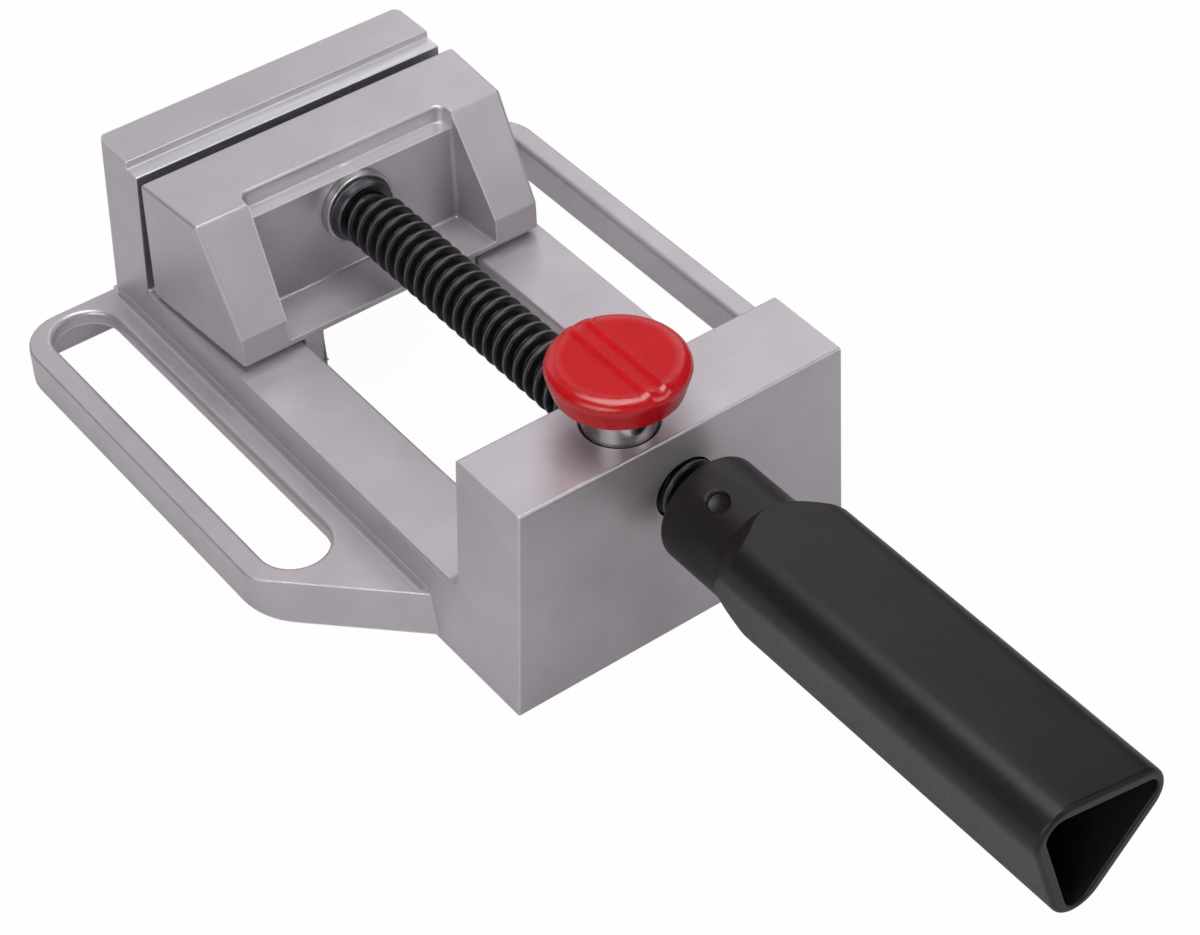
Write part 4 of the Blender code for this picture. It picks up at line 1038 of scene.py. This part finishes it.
def milled_aluminium(name, dark, light):
    """A face that was milled after casting, with fine lines along the cut and edges painted near white, a
    painted highlight that also stands for rubbed wear. Its dark copy on the fixed jaw's face is painted shade
    for the gap between the jaws.
    """
    material, tree, shader = new_material(name, light, 0.6, 0.30)
    lines = drift(tree, add_noise(tree, 30, 2, stretch=(1, 20, 20)), dark, light)
    # Edges are painted near white: a painted highlight, also standing for rubbed wear.
    paint(shader, blend_colours(tree, edge_mask(tree), lines, (0.94, 0.92, 0.95)))
    roughen(shader, 300, 0.28, 0.34)
    return material


def bright_steel():
    """Turned and polished steel with fine lines round its axis."""
    material, tree, shader = new_material("bright_steel", (0.62, 0.61, 0.60), 1.0, 0.16)
    lines = add_noise(tree, 60, 2, stretch=(1, 1, 60))
    paint(shader, drift(tree, lines, (0.52, 0.51, 0.50), (0.70, 0.69, 0.68)))
    roughen(shader, 900, 0.12, 0.24)
    add_bump(shader, lines, 0.05)
    return material


def zinc_steel():
    """Plain zinc-plated steel."""
    material, tree, shader = new_material("zinc_steel", (0.50, 0.49, 0.50), 1.0, 0.35)
    paint(shader, drift(tree, add_noise(tree, 160, 4), (0.42, 0.41, 0.42), (0.56, 0.55, 0.56)))
    roughen(shader, 700, 0.28, 0.42)
    add_bump(shader, add_noise(tree, 1800, 2), 0.08)
    return material


def dark_steel():
    """Dark steel, on the hub of the screw's bush."""
    material, tree, shader = new_material("dark_steel", (0.10, 0.10, 0.11), 1.0, 0.42)
    paint(shader, drift(tree, add_noise(tree, 300, 4), (0.07, 0.07, 0.08), (0.13, 0.13, 0.14)))
    roughen(shader, 900, 0.36, 0.48)
    return material


def black_oxide():
    """Blackened steel, slightly oily, painted grey on the crests of the screw's thread: rubbed wear, and a
    painted highlight there too.
    """
    material, tree, shader = new_material("black_oxide", (0.006, 0.006, 0.007), 0.3, 0.36)
    film = drift(tree, add_noise(tree, 220, 4), (0.003, 0.003, 0.004), (0.007, 0.007, 0.008))
    crown = THREAD_DEPTH * THREAD_CROWN
    start, end = (SCREW_RADIUS - share * crown for share in CREST_WEAR_AND_HIGHLIGHT)
    reach = axis_distance(tree, (1, 0, 1), (0, 0, SCREW_HEIGHT))
    crest = remap(tree, reach, 0.0, 1.0, start, end)
    inside = remap(tree, reach, 1.0, 0.0, SCREW_RADIUS + TOUCH, SCREW_RADIUS + 2 * TOUCH)
    worn_and_lit = calculate(tree, "MULTIPLY", crest, inside)
    # The crests are painted grey: rubbed wear, and a painted highlight along them.
    paint(shader, blend_colours(tree, worn_and_lit, film, (0.105, 0.105, 0.110)))
    roughen(shader, 900, 0.30, 0.44)
    add_bump(shader, add_noise(tree, 2500, 2), 0.05)
    return material


def black_plastic():
    """Satin black moulding with a very fine spark-eroded grain."""
    gloss = {"Specular IOR Level": 0.32}
    material, tree, shader = new_material("black_plastic", (0.011, 0.010, 0.012), 0.0, 0.40, gloss)
    paint(shader, drift(tree, add_noise(tree, 60, 4), (0.009, 0.007, 0.009), (0.013, 0.010, 0.013)))
    roughen(shader, 1200, 0.36, 0.46)
    add_bump(shader, add_noise(tree, 3500, 2), 0.05)
    return material


def red_plastic():
    """Red moulding, slightly translucent, satin on top and polished by use round the rim."""
    depth = {"Subsurface Weight": 0.5, "Subsurface Radius": (1.0, 0.08, 0.08), "Subsurface Scale": 0.004}
    material, tree, shader = new_material("red_plastic", (0.56, 0.008, 0.013), 0.0, 0.28, depth)
    paint(shader, drift(tree, add_noise(tree, 90, 4), (0.48, 0.006, 0.010), (0.54, 0.008, 0.013)))
    reach = axis_distance(tree, (1, 1, 0), (RELEASE_X, RELEASE_Y, 0))
    height = add_node(tree, "SeparateXYZ", {"Vector": object_place(tree)}).outputs["Z"]
    shoulder = BUTTON_LOW.z + BUTTON_RIM_HEIGHT
    upper = remap(tree, height, 0, 1, shoulder - RIM_FADE, shoulder + RIM_FADE)
    outer = remap(tree, reach, 0, 1, BUTTON_INNER - RIM_FADE, BUTTON_INNER + RIM_FADE)
    polish = calculate(tree, "MULTIPLY", outer, upper)
    feed(shader.inputs["Specular IOR Level"], remap(tree, polish, 0.11, 0.60, 0, 1))
    smoother = calculate(tree, "MULTIPLY", polish, -0.05)
    rough = remap(tree, add_noise(tree, 600), 0.24, 0.34)
    feed(shader.inputs["Roughness"], calculate(tree, "ADD", rough, smoother))
    return material


def spring_steel():
    """Drawn wire."""
    material, tree, shader = new_material("spring_steel", (0.30, 0.30, 0.31), 1.0, 0.30)
    roughen(shader, 1500, 0.22, 0.38)
    return material


def finish_nodes(looks):
    """Gives every CAD node the look of its slot, for the ones that no skin replaces."""
    slots = {entry["node"]: entry["material_slot"] for entry in frame["record"]["subparts"]}
    for name, node in frame["nodes"].items():
        node.data.materials.clear()
        node.data.materials.append(looks[slots[name]])


def add_camera():
    data = bpy.data.cameras.new("photo_camera")
    data.lens = CAMERA_LENS
    data.sensor_width = SENSOR_WIDTH
    data.sensor_fit = "HORIZONTAL"
    camera = link_object("photo_camera", data)
    turn = Matrix.Rotation(CAMERA_AZIMUTH, 3, "Z") @ Matrix.Rotation(math.pi / 2 - CAMERA_ELEVATION, 3, "X")
    turn = turn @ Matrix.Rotation(CAMERA_ROLL, 3, "Z")
    camera.matrix_world = Matrix.Translation(CAMERA_PLACE) @ turn.to_4x4()
    bpy.context.scene.camera = camera


def add_floor():
    """A floor that is almost white to the camera and keeps a faint share of the object's shadow."""
    low, high = (-FLOOR_HALF, -FLOOR_HALF, -FLOOR_DEPTH), (FLOOR_HALF, FLOOR_HALF, -FLOOR_GAP)
    floor = make_object("floor", block(low, high))
    material, tree, shader = new_material("floor", FLOOR_COLOUR, 0, 1.0, {"Specular IOR Level": 0})
    path = add_node(tree, "LightPath")
    share = None
    for ray, amount in FLOOR_WHITE.items():
        part = calculate(tree, "MULTIPLY", path.outputs[ray], amount)
        share = part if share is None else calculate(tree, "MAXIMUM", share, part)
    white = add_node(tree, "Emission").outputs["Emission"]
    mix = add_node(tree, "MixShader", {"Fac": share, 1: shader.outputs["BSDF"], 2: white})
    feed(tree.nodes["Material Output"].inputs["Surface"], mix.outputs["Shader"])
    floor.data.materials.append(material)


def add_light(name, turn, height, width, power):
    """A square softbox that faces the vise from a turn round it and a height, both in degrees."""
    data = bpy.data.lights.new(name, "AREA")
    data.size = width
    data.energy = power
    light = link_object(name, data)
    around, up = math.radians(turn), math.radians(height)
    toward = Vector((math.sin(around) * math.cos(up), -math.cos(around) * math.cos(up), math.sin(up)))
    light.location = toward * LIGHT_DISTANCE
    light.rotation_euler = toward.to_track_quat("Z", "Y").to_euler()


def light_scene():
    """Soft light, most of it from above. Where the camera looks past the floor, it sees white."""
    world = bpy.data.worlds.new("studio")
    world.use_nodes = True
    bpy.context.scene.world = world
    tree = world.node_tree
    background = tree.nodes["Background"]
    feed(background.inputs["Color"], (1, 1, 1, 1))
    seen = add_node(tree, "LightPath").outputs["Is Camera Ray"]
    feed(background.inputs["Strength"], remap(tree, seen, WORLD_STRENGTH, 1.0, 0, 1))
    for name, settings in LIGHTS.items():
        add_light(name, *settings)
    bpy.context.scene.view_settings.view_transform = "Standard"


def main():
    makers = (cast_aluminium, bright_steel, zinc_steel, dark_steel, black_oxide, black_plastic, red_plastic,
              spring_steel)
    looks = {maker.__name__: maker() for maker in makers}
    looks["milled_ledge"] = milled_aluminium("milled_ledge", (0.60, 0.59, 0.62), (0.72, 0.71, 0.74))
    # A dark copy of the milled look: painted shade for the fixed jaw's face in the gap between the jaws.
    looks["milled_face"] = milled_aluminium("milled_face", (0.21, 0.21, 0.22), (0.27, 0.27, 0.28))
    finish_nodes(looks)
    builders = (build_base, build_jaw, build_screw, build_bush, build_handle, build_handle_pin,
                build_button, build_collar, build_spring)
    for build in builders:
        build(looks)
    add_camera()
    add_floor()
    light_scene()


main()
